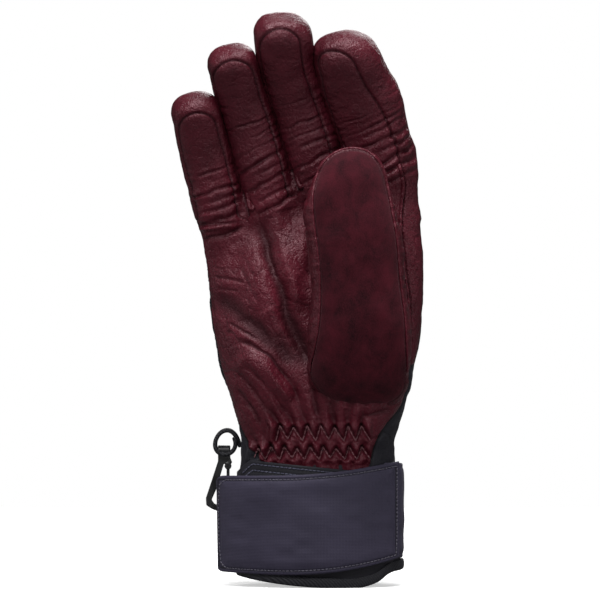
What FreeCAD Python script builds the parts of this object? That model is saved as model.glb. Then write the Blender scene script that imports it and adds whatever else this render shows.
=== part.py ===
"""Insulated leather ski glove for the right hand, standing on its cuff with the fingers up.

Frame, in millimetres: +Z up along the hand, -Y is the palm side, +X the thumb side. The origin is the
centre of the wrist opening, on the plane that the cuff's hem rests on.

The glove is a leather skin over a layer of insulation over a liner. Every finger is a capsule in two
segments that meet at the middle knuckle, where a wedge is cut out of the palm side so that the finger can
bend. The thumb lies in front of the palm, and turns about its own base. The cuff is an oval tube with a
wide strap curved round its palm side. A plastic hook hangs from a webbing loop at the little-finger side.
"""

import FreeCAD, Part
import Sketcher

import math
import os

FINGERS = ("index", "middle", "ring", "pinky")
X_AXIS, Y_AXIS, Z_AXIS = (FreeCAD.Vector(*v) for v in ((1, 0, 0), (0, 1, 0), (0, 0, 1)))
END_FACETS = 8  # flats on each round end of the hand
FAR = 200  # the size of a block that only has to be larger than what it cuts
DEEP = 20  # the length of a hole that only has to pass through one wall

DIMENSIONS = {
    # cuff: an oval tube
    "cuff_width": 80, "cuff_depth": 50, "cuff_top": 62,
    "hem_height": 5, "hem_floor": 1.4, "hem_proud": 0.8,
    "cuff_wall": 1.2, "cuff_fleece": 2.0,
    # layers of the hand and fingers, from the outside inwards, with a little air between them
    "leather": 1.2, "air": 0.15, "hand_fill": 3.5, "hand_lining": 1.0,
    "finger_fill": 2.3, "finger_lining": 0.8,
    # hand: level slot-shaped sections, each with its own centre, height, width and thickness,
    # and the sloping plane on which the four fingers stand
    "wrist_x": -1.0, "wrist_z": 62.15, "wrist_w": 76, "wrist_t": 46,
    "gather_x": -1.2, "gather_z": 72, "gather_w": 76, "gather_t": 45,
    "heel_x": -0.7, "heel_z": 95, "heel_w": 87.5, "heel_t": 46,
    "palm_x": -1.7, "palm_z": 122, "palm_w": 99, "palm_t": 46,
    "crease_x": -2.6, "crease_z": 152, "crease_w": 104, "crease_t": 41,
    "knuckle_x": -7.0, "knuckle_z": 184, "knuckle_w": 108.5, "knuckle_t": 34,
    "finger_row_x": -12.0, "finger_row_z": 206, "finger_row_w": 113, "finger_row_t": 28,
    "row_centre_x": -5.2, "row_centre_z": 184, "row_tilt": 16.5,
    "web_thickness": 1.0, "web_width": 113, "web_depth": 33,
    "elastic_top": 77, "elastic_wall": 1.0, "fill_start": 78,
    "gusset_inner": 32, "gusset_top": 88, "softshell_top": 150,
    # fingers: base centre, sideways lean, forward tilt, lengths to the middle knuckle and to the tip's centre
    "index_x": 31.0, "index_z": 198, "index_lean": 18.2, "index_base": 31.7, "index_tip": 29.6,
    "index_r": 15.6, "index_tip_r": 15.0, "index_bend": 18,
    "middle_x": 2.3, "middle_z": 189.5, "middle_lean": 15.4, "middle_base": 41.1, "middle_tip": 38.9,
    "middle_r": 12.5, "middle_tip_r": 11.9, "middle_bend": 20,
    "ring_x": -22.4, "ring_z": 182.1, "ring_lean": 14.2, "ring_base": 41.9, "ring_tip": 30.6,
    "ring_r": 12.1, "ring_tip_r": 11.5, "ring_bend": 18,
    "pinky_x": -46.8, "pinky_z": 174.9, "pinky_lean": 12.4, "pinky_base": 31.7, "pinky_tip": 22.9,
    "pinky_r": 12.1, "pinky_tip_r": 11.8, "pinky_bend": 15,
    "finger_tilt": 4, "finger_root": 12, "notch_angle": 42.5, "joint_gap": 0.2, "pad_depth": 0.35,
    # thumb: a keyhole outline, turning about the centre of its large end
    "thumb_x": 18.3, "thumb_back": 23.7, "thumb_z": 111.3, "thumb_lean": 3,
    "thumb_heel_r": 25.5, "thumb_tip_r": 18.5, "thumb_reach": 81.6, "thumb_depth": 26,
    "thumb_round": 11.5, "thumb_hole_r": 15.5, "suede_depth": 9,
    # strap: shells about one vertical axis behind the cuff, trimmed by a tilted band
    "strap_axis_y": 33, "strap_face_r": 62.4, "strap_gap": 0.3, "strap_wall": 1.95, "hook_wall": 0.75,
    "loop_wall": 0.8, "strap_blank": 80, "patch_left": 52, "patch_margin": 4,
    "strap_left": 56, "strap_right": 39, "strap_band": 47, "strap_rise": 4.3, "strap_mid_z": 33.6,
    "loop_panel_half": 34, "loop_panel_low": 10, "loop_panel_top": 60,
    "wrap_clear": 0.3, "wrap_wall": 1.8, "wrap_front_y": -12.4, "wrap_low": 12, "wrap_top": 59,
    "wrap_end_x": -12,
    # webbing loop and hook
    "loop_outer_x": -51.0, "loop_inner_x": -37.4, "loop_low_z": 64.5, "loop_high_z": 78.0,
    "loop_y": 6.0, "loop_tape": 3.0, "loop_strand": 1.0, "loop_tab": 3.6, "loop_step": 1.0, "loop_slant": 3.2,
    "loop_corner_x": 5, "loop_corner_z": 6, "loop_round": 0.35,
    "eye_r": 2.7, "eye_bore": 1.75, "eye_half": 3.0, "spine_drop": 5, "nose_drop": 3.5,
    "hook_thick": 3.0, "hook_rim": 1.8, "hook_round": 0.45,
    "cheek_r": 1.7, "cheek_thick": 0.7, "cheek_gap": 0.3, "pin_r": 0.5, "pin_half": 1.9, "pin_hole_r": 0.6,
    "gate_pivot_x": -44.6, "gate_pivot_z": 57.6, "gate_r": 1.3, "gate_seat": 0.25,
    "gate_length": 15.6, "gate_width": 1.5,
}

# the hook below its eye, as (x, z): down the leaning spine, round the foot to the nose, and back up inside
HOOK_OUTLINE = (
    (-55.4, 42.0), (-55.2, 38.6), (-52.6, 36.8), (-46.6, 34.4), (-43.6, 36.4), (-43.2, 41.6), (-45.0, 41.6),
    (-45.6, 38.4), (-47.2, 38.2), (-51.4, 39.4), (-52.6, 41.2), (-50.2, 46.5), (-47.6, 55.5), (-46.6, 58.9),
    (-42.4, 58.9),
)

SECTIONS = ("wrist", "gather", "heel", "palm", "crease", "knuckle", "finger_row")
# outer and inner inset of each layer, as sums of the cells above
SKIN = ("0", "dims.leather")
HAND_FILL = ("dims.leather + dims.air", "dims.leather + dims.air + dims.hand_fill")
HAND_LINER = (
    "dims.leather + 2 * dims.air + dims.hand_fill",
    "dims.leather + 2 * dims.air + dims.hand_fill + dims.hand_lining",
)
ELASTIC = ("dims.leather + dims.air", "dims.leather + dims.air + dims.elastic_wall")
FINGER_FILL = ("dims.leather + dims.air", "dims.leather + dims.air + dims.finger_fill")
FINGER_LINER = (
    "dims.leather + 2 * dims.air + dims.finger_fill",
    "dims.leather + 2 * dims.air + dims.finger_fill + dims.finger_lining",
)

doc = FreeCAD.newDocument("ski_glove")
sheet = doc.addObject("Spreadsheet::Sheet", "dims")
for row, (alias, value) in enumerate(DIMENSIONS.items(), start=1):
    sheet.set(f"A{row}", alias)
    sheet.set(f"B{row}", str(value))
    sheet.setAlias(f"B{row}", alias)
doc.recompute()
nodes = []


def size(alias):
    """The number in a cell of the sheet."""
    return float(sheet.get(alias))


def total(expression):
    """The value of a sum of cells, each with or without a factor."""
    amount = 0
    for term in expression.split("+"):
        product = 1
        for piece in term.split("*"):
            piece = piece.strip()
            product *= size(piece[5:]) if piece.startswith("dims.") else float(piece)
        amount += product
    return amount


def bind(obj, **expressions):
    """Ties properties of obj to the sheet. A double underscore stands for a dot in the property's path."""
    for path, expression in expressions.items():
        obj.setExpression(path.replace("__", "."), expression)
    return obj


def block(name, low, span, turn=None):
    """A box from a low corner, spanning x, y and z, then turned about the origin."""
    obj = doc.addObject("Part::Box", name)
    obj.Length, obj.Width, obj.Height = span
    turn = turn or FreeCAD.Rotation()
    obj.Placement = FreeCAD.Placement(turn.multVec(FreeCAD.Vector(*low)), turn)
    return obj


def cylinder(name, radius, height, base=(0, 0, 0), turn=None):
    obj = doc.addObject("Part::Cylinder", name)
    bind(obj, Radius=radius, Height=height)
    obj.Placement = FreeCAD.Placement(FreeCAD.Vector(*base), turn or FreeCAD.Rotation())
    return obj


def join(kind, name, *parts):
    """A fuse, cut or common of two objects, or a cut of the first by each of the others."""
    made = parts[0]
    for n, tool in enumerate(parts[1:]):
        result = doc.addObject(f"Part::{kind}", f"{name}_{n}")
        result.Base, result.Tool = made, tool
        made = result
    return made


def node(obj, label, placement=None):
    """Marks obj as a sub-part, and puts it in its place."""
    obj.Label = label
    if placement is not None:
        obj.Placement = placement
    nodes.append(obj)
    return obj


# ---------------------------------------------------------------- hand

def slot_sketch(name, width, depth, inset="0"):
    """Two half circles joined by tangent lines, centred on the sketch's origin."""
    sketch = doc.addObject("Sketcher::SketchObject", name)
    c, r = (size(width) - size(depth)) / 2, size(depth) / 2
    quarter = math.pi / 2
    normal = FreeCAD.Vector(0, 0, 1)
    circle = [Part.Circle(FreeCAD.Vector(s * c, 0, 0), normal, r) for s in (-1, 1)]
    sketch.addGeometry(Part.ArcOfCircle(circle[0], quarter, 3 * quarter))
    sketch.addGeometry(Part.LineSegment(FreeCAD.Vector(-c, -r, 0), FreeCAD.Vector(c, -r, 0)))
    sketch.addGeometry(Part.ArcOfCircle(circle[1], -quarter, quarter))
    sketch.addGeometry(Part.LineSegment(FreeCAD.Vector(c, r, 0), FreeCAD.Vector(-c, r, 0)))
    add = sketch.addConstraint
    for first, second in ((0, 1), (1, 2), (2, 3), (3, 0)):
        add(Sketcher.Constraint("Tangent", first, 2, second, 1))
    add(Sketcher.Constraint("Horizontal", 1))
    add(Sketcher.Constraint("Symmetric", 0, 3, 2, 3, -1, 1))
    length = add(Sketcher.Constraint("DistanceX", 0, 3, 2, 3, 2 * c))
    round_end = add(Sketcher.Constraint("Radius", 0, r))
    sketch.setExpression(f"Constraints[{length}]", f"dims.{width} - dims.{depth}")
    sketch.setExpression(f"Constraints[{round_end}]", f"dims.{depth} / 2 - ({inset})")
    return sketch


def section(at, inset):
    """A level slot-shaped ring of the hand with faceted round ends, inset from the outside."""
    radius = size(f"{at}_t") / 2 - inset
    half = (size(f"{at}_w") - size(f"{at}_t")) / 2
    corners = []
    for side, start in ((-1, 90), (1, -90)):
        for step in range(END_FACETS + 1):
            angle = math.radians(start + 180 * step / END_FACETS)
            x = size(f"{at}_x") + side * half + radius * math.cos(angle)
            corners.append(FreeCAD.Vector(x, radius * math.sin(angle), size(f"{at}_z")))
    return Part.makePolygon(corners + corners[:1])


def hand_solid(name, inset):
    """The hand's outline, inset by a sum of cells. Facets keep every layer the same distance apart."""
    hand = doc.addObject("Part::Feature", name)
    hand.Shape = Part.makeLoft([section(at, total(inset)) for at in SECTIONS], True, True)
    return hand


def finger_row():
    """The frame of the sloping plane on which the fingers stand, its Z along the plane's normal."""
    centre = FreeCAD.Vector(size("row_centre_x"), 0, size("row_centre_z"))
    return FreeCAD.Placement(centre, FreeCAD.Rotation(Y_AXIS, -size("row_tilt")))


def beyond_row(name, height, above, frame=None):
    """A large block above or below the plane at a height over the finger row, seen from a frame."""
    place = (frame or FreeCAD.Placement()).inverse().multiply(finger_row())
    low = FreeCAD.Vector(-FAR, -FAR, height if above else height - FAR)
    obj = block(name, (0, 0, 0), (2 * FAR, 2 * FAR, FAR))
    obj.Placement = place.multiply(FreeCAD.Placement(low, FreeCAD.Rotation()))
    return obj


def hand_layer(prefix, insets):
    """A tube that follows the hand, open at the wrist and cut off along the finger row."""
    outer = hand_solid(f"{prefix}_out", insets[0])
    inner = hand_solid(f"{prefix}_in", insets[1])
    return join("Cut", f"{prefix}_tube", outer, inner, beyond_row(f"{prefix}_top", 0, True))


def thumb_hole(name):
    """The round way from the palm into the thumb, about the thumb's own axis."""
    return cylinder(
        name, "dims.thumb_hole_r", str(DEEP),
        (size("thumb_x"), -DEEP / 2, size("thumb_z")), FreeCAD.Rotation(X_AXIS, 90),
    )


def make_hand():
    def half(name, sign):
        return block(name, (-FAR, 0 if sign > 0 else -FAR, 0), (2 * FAR, FAR, 2 * FAR))

    def below(name, z):
        return block(name, (-FAR, -FAR, z - FAR), (2 * FAR, 2 * FAR, FAR))

    def above(name, z):
        return block(name, (-FAR, -FAR, z), (2 * FAR, 2 * FAR, FAR))

    inner_x, gusset_top = size("gusset_inner"), size("gusset_top")
    corner = {
        "left": (-FAR - inner_x, -FAR, gusset_top - FAR),
        "right": (inner_x, -FAR, gusset_top - FAR),
    }
    span = (FAR, FAR, FAR)
    palm = join("Common", "palm_half", hand_layer("palm", SKIN), half("palm_side", -1))
    node(
        join(
            "Cut", "palm_skin", palm, thumb_hole("palm_hole"),
            *[block(f"palm_less_{side}", corner[side], span) for side in corner],
        ),
        "palm_leather",
    )
    for side in corner:
        front = join("Common", f"{side}_front", hand_layer(side, SKIN), half(f"{side}_half", -1))
        node(join("Common", f"{side}_piece", front, block(f"{side}_box", corner[side], span)),
             f"side_gusset_{side}")
    seam = size("softshell_top")
    for label, cutter in (("back_softshell", below), ("knuckle_leather", above)):
        back = join("Common", f"{label}_half", hand_layer(label, SKIN), half(f"{label}_side", 1))
        node(join("Common", f"{label}_piece", back, cutter(f"{label}_box", seam)), label)
    fill_start = size("fill_start")
    fill = join("Cut", "fill_trim", hand_layer("fill", HAND_FILL), below("fill_low", fill_start))
    node(join("Cut", "fill_cut", fill, thumb_hole("fill_hole")), "hand_insulation")
    liner = join("Cut", "liner_cut", hand_layer("liner", HAND_LINER), thumb_hole("liner_hole"))
    node(liner, "hand_liner")
    elastic_top = size("elastic_top")
    node(join("Common", "elastic_trim", hand_layer("elastic", ELASTIC), below("elastic_box", elastic_top)),
         "wrist_elastic")


# ---------------------------------------------------------------- fingers

def finger_frames(finger):
    """(base centre, placement at the middle knuckle along the base, the same along the tip)."""
    lean = FreeCAD.Rotation(Y_AXIS, -size(f"{finger}_lean"))
    tilt = size("finger_tilt")
    along_base = lean.multiply(FreeCAD.Rotation(X_AXIS, tilt))
    along_tip = lean.multiply(FreeCAD.Rotation(X_AXIS, tilt + size(f"{finger}_bend")))
    base = FreeCAD.Vector(size(f"{finger}_x"), 0, size(f"{finger}_z"))
    knuckle = base + along_base.multVec(Z_AXIS * size(f"{finger}_base"))
    return base, FreeCAD.Placement(knuckle, along_base), FreeCAD.Placement(knuckle, along_tip)


def notch(name, upward):
    """The half space that leaves a finger's palm side clear to bend, above or below the hinge line."""
    turn = FreeCAD.Rotation(X_AXIS, size("notch_angle") * (1 if upward else -1))
    gap = size("joint_gap")
    low = (-FAR / 2, -FAR / 2, -gap if upward else gap - FAR)
    return block(name, low, (FAR, FAR, FAR), turn)


def capsule(name, radius, length, low):
    """A round-ended rod from low to length, closed by a ball at the top."""
    rod = cylinder(f"{name}_rod", radius, f"{length} - ({low})", (0, 0, 0))
    bind(rod, Placement__Base__z=low)
    ball = doc.addObject("Part::Sphere", f"{name}_ball")
    bind(ball, Radius=radius, Placement__Base__z=length)
    return join("Fuse", f"{name}_capsule", rod, ball)


def finger_tip(prefix, finger, insets):
    radius, length = f"dims.{finger}_tip_r", f"dims.{finger}_tip"
    outer = capsule(f"{prefix}_out", f"{radius} - ({insets[0]})", length, "dims.joint_gap")
    inner = capsule(f"{prefix}_in", f"{radius} - ({insets[1]})", length, "-1")
    return join("Cut", f"{prefix}_shell", outer, inner, notch(f"{prefix}_notch", False))


def finger_base(prefix, finger, insets, frame):
    """A tube from the finger row up to the middle knuckle."""
    radius, root = f"dims.{finger}_r", f"(dims.{finger}_base + dims.finger_root)"
    tube = []
    for part, inset, over in (("out", insets[0], "0"), ("in", insets[1], "1")):
        rod = cylinder(f"{prefix}_{part}", f"{radius} - ({inset})", f"{root} - dims.joint_gap + 2 * {over}")
        bind(rod, Placement__Base__z=f"-{root} - {over}")
        tube.append(rod)
    foot = beyond_row(f"{prefix}_foot", size("web_thickness") + 2 * size("air"), False, frame)
    return join("Cut", f"{prefix}_shell", *tube, notch(f"{prefix}_notch", True), foot)


def make_fingers():
    for finger in FINGERS:
        _, along_base, along_tip = finger_frames(finger)
        layers = (("leather", SKIN), ("insulation", FINGER_FILL), ("liner", FINGER_LINER))
        for layer, insets in layers:
            label = f"{finger}_base_{layer}"
            node(finger_base(label, finger, insets, along_base), label, along_base)
        for layer, insets in layers[1:]:
            label = f"{finger}_tip_{layer}"
            node(finger_tip(label, finger, insets), label, along_tip)
        # the skin of the tip is a pad on the palm side, sewn into a piece that rolls over the top
        seam_y = -size("pad_depth") * size(f"{finger}_tip_r")
        for label, low_y in ((f"{finger}_tip_pad", seam_y - FAR), (f"{finger}_tip_leather", seam_y)):
            shell = finger_tip(label, finger, SKIN)
            side = block(f"{label}_side", (-FAR / 2, low_y, -FAR / 2), (FAR, FAR, FAR))
            node(join("Common", f"{label}_piece", shell, side), label, along_tip)


def make_finger_web():
    """The plate of leather between the roots of the fingers, across the top of the hand."""
    web = doc.addObject("Part::Extrusion", "web_plate")
    web.Base = slot_sketch("web_outline", "web_width", "web_depth")
    web.DirMode, web.Dir, web.Solid = "Custom", Z_AXIS, True
    bind(web, LengthFwd="dims.web_thickness")
    place = finger_row().multiply(FreeCAD.Placement(Z_AXIS * size("air"), FreeCAD.Rotation()))
    holes = []
    for finger in FINGERS:
        base = place.inverse().multVec(finger_frames(finger)[0])
        wall = "dims.leather + 2 * dims.air + dims.finger_fill + dims.finger_lining"
        holes.append(cylinder(f"web_hole_{finger}", f"dims.{finger}_r - ({wall})", str(DEEP),
                              (base.x, 0, -DEEP / 2)))
    node(join("Cut", "web", web, *holes), "finger_web", place)


# ---------------------------------------------------------------- thumb

def thumb_solid(name, inset):
    """A keyhole-shaped pad with rounded front and back edges, inset from the outside."""
    heel, tip, reach = size("thumb_heel_r"), size("thumb_tip_r"), size("thumb_reach")
    body = doc.addObject("PartDesign::Body", f"{name}_body")
    sketch = body.newObject("Sketcher::SketchObject", f"{name}_outline")
    plane = [f for f in body.Origin.OriginFeatures if f.Role == "XZ_Plane"][0]
    sketch.AttachmentSupport, sketch.MapMode = [(plane, "")], "FlatFace"
    slope = math.asin((heel - tip) / reach)
    up, normal = FreeCAD.Vector(0, reach, 0), FreeCAD.Vector(0, 0, 1)
    sketch.addGeometry(Part.ArcOfCircle(Part.Circle(up, normal, tip), slope, math.pi - slope))
    round_heel = Part.Circle(up * 0, normal, heel)
    sketch.addGeometry(Part.ArcOfCircle(round_heel, math.pi - slope, 2 * math.pi + slope))
    ends = [(sketch.Geometry[g].StartPoint, sketch.Geometry[g].EndPoint) for g in (0, 1)]
    sketch.addGeometry(Part.LineSegment(ends[0][1], ends[1][0]))
    sketch.addGeometry(Part.LineSegment(ends[1][1], ends[0][0]))
    for first, second in ((0, 2), (2, 1), (1, 3), (3, 0)):
        sketch.addConstraint(Sketcher.Constraint("Tangent", first, 2, second, 1))
    sketch.addConstraint(Sketcher.Constraint("Coincident", 1, 3, -1, 1))
    sketch.addConstraint(Sketcher.Constraint("PointOnObject", 0, 3, -2))
    for kind, arguments, expression in (
        ("Radius", (0, tip), f"dims.thumb_tip_r - ({inset})"),
        ("Radius", (1, heel), f"dims.thumb_heel_r - ({inset})"),
        ("DistanceY", (1, 3, 0, 3, reach), "dims.thumb_reach"),
    ):
        number = sketch.addConstraint(Sketcher.Constraint(kind, *arguments))
        sketch.setExpression(f"Constraints[{number}]", expression)
    pad = body.newObject("PartDesign::Pad", f"{name}_pad")
    pad.Profile = sketch
    bind(pad, Length=f"dims.thumb_depth - 2 * ({inset})")
    doc.recompute()
    faces = pad.Shape.Faces
    flat = [f"Face{n + 1}" for n, f in enumerate(faces) if abs(f.normalAt(0, 0).y) > 0.9 and f.Area > 500]
    fillet = body.newObject("PartDesign::Fillet", f"{name}_round")
    fillet.Base = (pad, flat)
    bind(fillet, Radius=f"dims.thumb_round - ({inset})")
    doc.recompute()
    # the pad grows towards -Y from the sketch's plane, so an inset one starts further forward
    bind(body, Placement__Base__y=f"-({inset})")
    return body


def thumb_layer(prefix, insets):
    turn = FreeCAD.Rotation(X_AXIS, 90)
    hole = cylinder(f"{prefix}_hole", "dims.thumb_hole_r", str(DEEP), (0, DEEP / 2, 0), turn)
    outer, inner = (thumb_solid(f"{prefix}_{n}", inset) for n, inset in enumerate(insets))
    return join("Cut", f"{prefix}_shell", outer, inner, hole)


def make_thumb():
    place = FreeCAD.Placement(
        FreeCAD.Vector(size("thumb_x"), -size("thumb_back"), size("thumb_z")),
        FreeCAD.Rotation(Y_AXIS, -size("thumb_lean")),
    )
    seam_y = size("suede_depth") - size("thumb_depth")
    for label, low_y in (("thumb_suede", seam_y - FAR), ("thumb_leather", seam_y)):
        side = block(f"{label}_side", (-FAR / 2, low_y, -FAR / 2), (FAR, FAR, FAR))
        node(join("Common", f"{label}_piece", thumb_layer(label, SKIN), side), label, place)
    node(thumb_layer("thumb_fill", FINGER_FILL), "thumb_insulation", place)
    node(thumb_layer("thumb_line", FINGER_LINER), "thumb_liner", place)


# ---------------------------------------------------------------- cuff

def oval(name, inset, low, high):
    """A solid oval column of the cuff's section, inset from the outside, between two heights."""
    edge = doc.addObject("Part::Ellipse", f"{name}_edge")
    bind(edge, MajorRadius=f"dims.cuff_width / 2 - ({inset})", MinorRadius=f"dims.cuff_depth / 2 - ({inset})")
    bind(edge, Placement__Base__z=low)
    column = doc.addObject("Part::Extrusion", f"{name}_column")
    column.Base, column.DirMode, column.Dir, column.Solid = edge, "Custom", Z_AXIS, True
    bind(column, LengthFwd=f"{high} - ({low})")
    return column


def oval_ring(name, outer, inner, low, high):
    return join("Cut", name, oval(f"{name}_out", outer, low, high), oval(f"{name}_in", inner, low, high))


def make_cuff():
    shell, lining = "dims.cuff_wall", "dims.cuff_wall + dims.air"
    fleece = f"{lining} + dims.cuff_fleece"
    start = "dims.hem_floor + dims.air"
    node(oval_ring("shell_ring", "0", shell, start, "dims.cuff_top"), "cuff_shell")
    node(oval_ring("lining_ring", lining, fleece, start, "dims.cuff_top"), "cuff_lining")
    hem = oval_ring("hem_ring", "-dims.hem_proud", f"{fleece} + dims.hem_proud", "0", "dims.hem_height")
    groove = oval_ring(
        "hem_groove", "-dims.air", f"{fleece} + dims.air", "dims.hem_floor", "2 * dims.hem_height"
    )
    node(join("Cut", "hem", hem, groove), "hem_binding")


# ---------------------------------------------------------------- strap

def strap_shell(name, outer, wall, left, right, low, high):
    """A curved sheet about the strap's axis, between two angles from straight ahead and two heights."""
    tubes = []
    for part, radius in (("out", outer), ("in", f"{outer} - {wall}")):
        rod = cylinder(f"{name}_{part}", radius, f"{high} - ({low})")
        bind(rod, Angle=f"{left} + {right}", Placement__Base__y="dims.strap_axis_y", Placement__Base__z=low)
        tubes.append(rod)
        start = -90 - total(left)
        rod.Placement = FreeCAD.Placement(rod.Placement.Base, FreeCAD.Rotation(Z_AXIS, start))
    return join("Cut", name, *tubes)


def strap_band(name, margin=0):
    """A tilted box that trims the strap to its height, less a margin at each edge."""
    height = size("strap_band") - 2 * margin
    turn = FreeCAD.Rotation(Y_AXIS, -size("strap_rise"))
    band = block(name, (-FAR / 2, -FAR, -height / 2), (FAR, 2 * FAR, height), turn)
    band.Placement.Base = band.Placement.Base + FreeCAD.Vector(0, 0, size("strap_mid_z"))
    return band


def make_strap():
    low, high = "0", "dims.strap_blank"
    face = strap_shell(
        "strap_sheet", "dims.strap_face_r", "dims.strap_wall", "dims.strap_left", "dims.strap_right", low, high
    )
    node(join("Common", "strap_trim", face, strap_band("strap_edges")), "strap_face")
    hook_r = "dims.strap_face_r - dims.strap_wall - dims.air"
    hook = strap_shell("hook_sheet", hook_r, "dims.hook_wall", "dims.patch_left", "0", low, high)
    edges = strap_band("hook_edges", size("patch_margin"))
    node(join("Common", "hook_trim", hook, edges), "strap_hook_patch")
    loop_r = f"{hook_r} - dims.hook_wall - dims.strap_gap"
    half = "dims.loop_panel_half"
    panel = strap_shell("loop_sheet", loop_r, "dims.loop_wall", half, half,
                        "dims.loop_panel_low", "dims.loop_panel_top")
    node(panel, "loop_panel")
    wrap = oval_ring(
        "wrap_ring", "-dims.wrap_clear - dims.wrap_wall", "-dims.wrap_clear", "dims.wrap_low", "dims.wrap_top"
    )
    right_side = block("wrap_right", (0, size("wrap_front_y"), 0), (FAR, FAR, FAR))
    back = block("wrap_back", (size("wrap_end_x"), 0, 0), (FAR, FAR, FAR))
    node(join("Common", "wrap_trim", wrap, join("Fuse", "wrap_reach", right_side, back)), "strap_wrap")


# ---------------------------------------------------------------- webbing loop and hook

def outline_body(name, rings, plane_y, thickness):
    """A plate in the XZ plane, centred on plane_y: the first ring of (x, z) corners less the others."""
    body = doc.addObject("PartDesign::Body", f"{name}_body")
    sketch = body.newObject("Sketcher::SketchObject", f"{name}_outline")
    plane = [f for f in body.Origin.OriginFeatures if f.Role == "XZ_Plane"][0]
    sketch.AttachmentSupport, sketch.MapMode = [(plane, "")], "FlatFace"
    for ring in rings:
        points = [FreeCAD.Vector(x, z, 0) for x, z in ring]
        for start, end in zip(points, points[1:] + points[:1]):
            sketch.addGeometry(Part.LineSegment(start, end))
    pad = body.newObject("PartDesign::Pad", f"{name}_pad")
    pad.Profile, pad.Midplane = sketch, True
    bind(pad, Length=thickness)
    bind(body, Placement__Base__y=plane_y)
    doc.recompute()
    return body, pad


def round_corners(body, pad, name, radius):
    """Rounds the plate's edges that run through its thickness."""
    edges = [
        f"Edge{n + 1}" for n, e in enumerate(pad.Shape.Edges)
        if abs(e.Vertexes[0].Point.y - e.Vertexes[-1].Point.y) > 0.5
    ]
    fillet = body.newObject("PartDesign::Fillet", name)
    fillet.Base = (pad, edges)
    bind(fillet, Radius=radius)
    doc.recompute()
    return body


def make_webbing_loop():
    left, right = size("loop_outer_x"), size("loop_inner_x")
    low, high = size("loop_low_z"), size("loop_high_z")
    strand, tab, step = size("loop_strand"), size("loop_tab"), size("loop_step")
    corner, shoulder = left + size("loop_corner_x"), high - size("loop_corner_z")
    # the outer strand is seen on edge, the inner one runs up to the tab that is sewn into the side seam
    outer = [
        (left, low), (right - tab - step, low), (right, shoulder),
        (right, high), (corner, high), (left, shoulder),
    ]
    inner = [
        (left + strand, low + strand), (right - tab - 2 * step, low + strand),
        (right - tab - size("loop_slant"), high - strand - step),
        (corner, high - strand), (left + strand, shoulder),
    ]
    body, pad = outline_body("webbing", [outer, inner], "dims.loop_y", "dims.loop_tape")
    loop = round_corners(body, pad, "webbing_round", "dims.loop_round")
    node(join("Cut", "webbing_sewn", loop, hand_solid("webbing_seam", "0")), "webbing_loop")


def hinge_point():
    """(x, z) of the middle of the loop's lower strand, which the hook hangs from."""
    left = size("loop_outer_x") + size("loop_strand")
    right = size("loop_inner_x") - size("loop_tab") - 2 * size("loop_step")
    return (left + right) / 2, size("loop_low_z") + size("loop_strand") / 2


def make_clip_hook():
    """An eye round the loop's lower strand, a leaning spine to a foot, and a nose that the gate closes on."""
    hinge_x, hinge_z = hinge_point()
    y, half, gap = size("loop_y"), size("eye_half"), size("hook_rim") / 2 + size("cheek_gap")
    left, right = hinge_x - half, hinge_x + half
    outline = [
        (left, hinge_z), (left, hinge_z - size("spine_drop")), *HOOK_OUTLINE,
        (right, hinge_z - size("nose_drop")), (right, hinge_z),
    ]
    body, pad = outline_body("hook", [outline], "dims.loop_y", "dims.hook_thick")
    round_corners(body, pad, "hook_round", "dims.hook_round")
    along_x, along_y = FreeCAD.Rotation(Y_AXIS, 90), FreeCAD.Rotation(X_AXIS, -90)
    eye = cylinder("eye", "dims.eye_r", "2 * dims.eye_half", (left, y, hinge_z), along_x)
    bore = cylinder("eye_bore", "dims.eye_bore", "4 * dims.eye_half", (left - half, y, hinge_z), along_x)
    pivot_x, pivot_z = size("gate_pivot_x"), size("gate_pivot_z")
    seat_start = (pivot_x, y - DEEP / 2, pivot_z)
    seat = cylinder("gate_seat", "dims.gate_r + dims.gate_seat", str(DEEP), seat_start, along_y)
    solid = join("Cut", "hook_less", join("Fuse", "hook_head", body, eye), bore, seat)
    # a cheek on each side of the gate's seat carries its pin
    cheeks = []
    for name, start_y in (("cheek_front", y - gap - size("cheek_thick")), ("cheek_back", y + gap)):
        cheeks.append(cylinder(name, "dims.cheek_r", "dims.cheek_thick", (pivot_x, start_y, pivot_z), along_y))
    pin_start = (pivot_x, y - size("pin_half"), pivot_z)
    pin = cylinder("gate_pin", "dims.pin_r", "2 * dims.pin_half", pin_start, along_y)
    node(join("Fuse", "hook_whole", solid, *cheeks, pin), "clip_hook")


def make_clip_gate():
    """A bar that hangs from a bored knob on the pin and closes the hook's mouth."""
    y, rim, width, length = (size(name) for name in ("loop_y", "hook_rim", "gate_width", "gate_length"))
    pivot_x, pivot_z = size("gate_pivot_x"), size("gate_pivot_z")
    bar = block("gate_bar", (pivot_x - width / 2, y - rim / 2, pivot_z - length), (width, rim, length))
    along_y = FreeCAD.Rotation(X_AXIS, -90)
    knob = cylinder("gate_knob", "dims.gate_r", "dims.hook_rim", (pivot_x, y - rim / 2, pivot_z), along_y)
    hole = cylinder("gate_hole", "dims.pin_hole_r", str(DEEP), (pivot_x, y - DEEP / 2, pivot_z), along_y)
    node(join("Cut", "gate_bored", join("Fuse", "gate_whole", bar, knob), hole), "clip_gate")



make_hand()
make_fingers()
make_finger_web()
make_thumb()
make_cuff()
make_strap()
make_webbing_loop()
make_clip_hook()
make_clip_gate()
doc.recompute()

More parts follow.
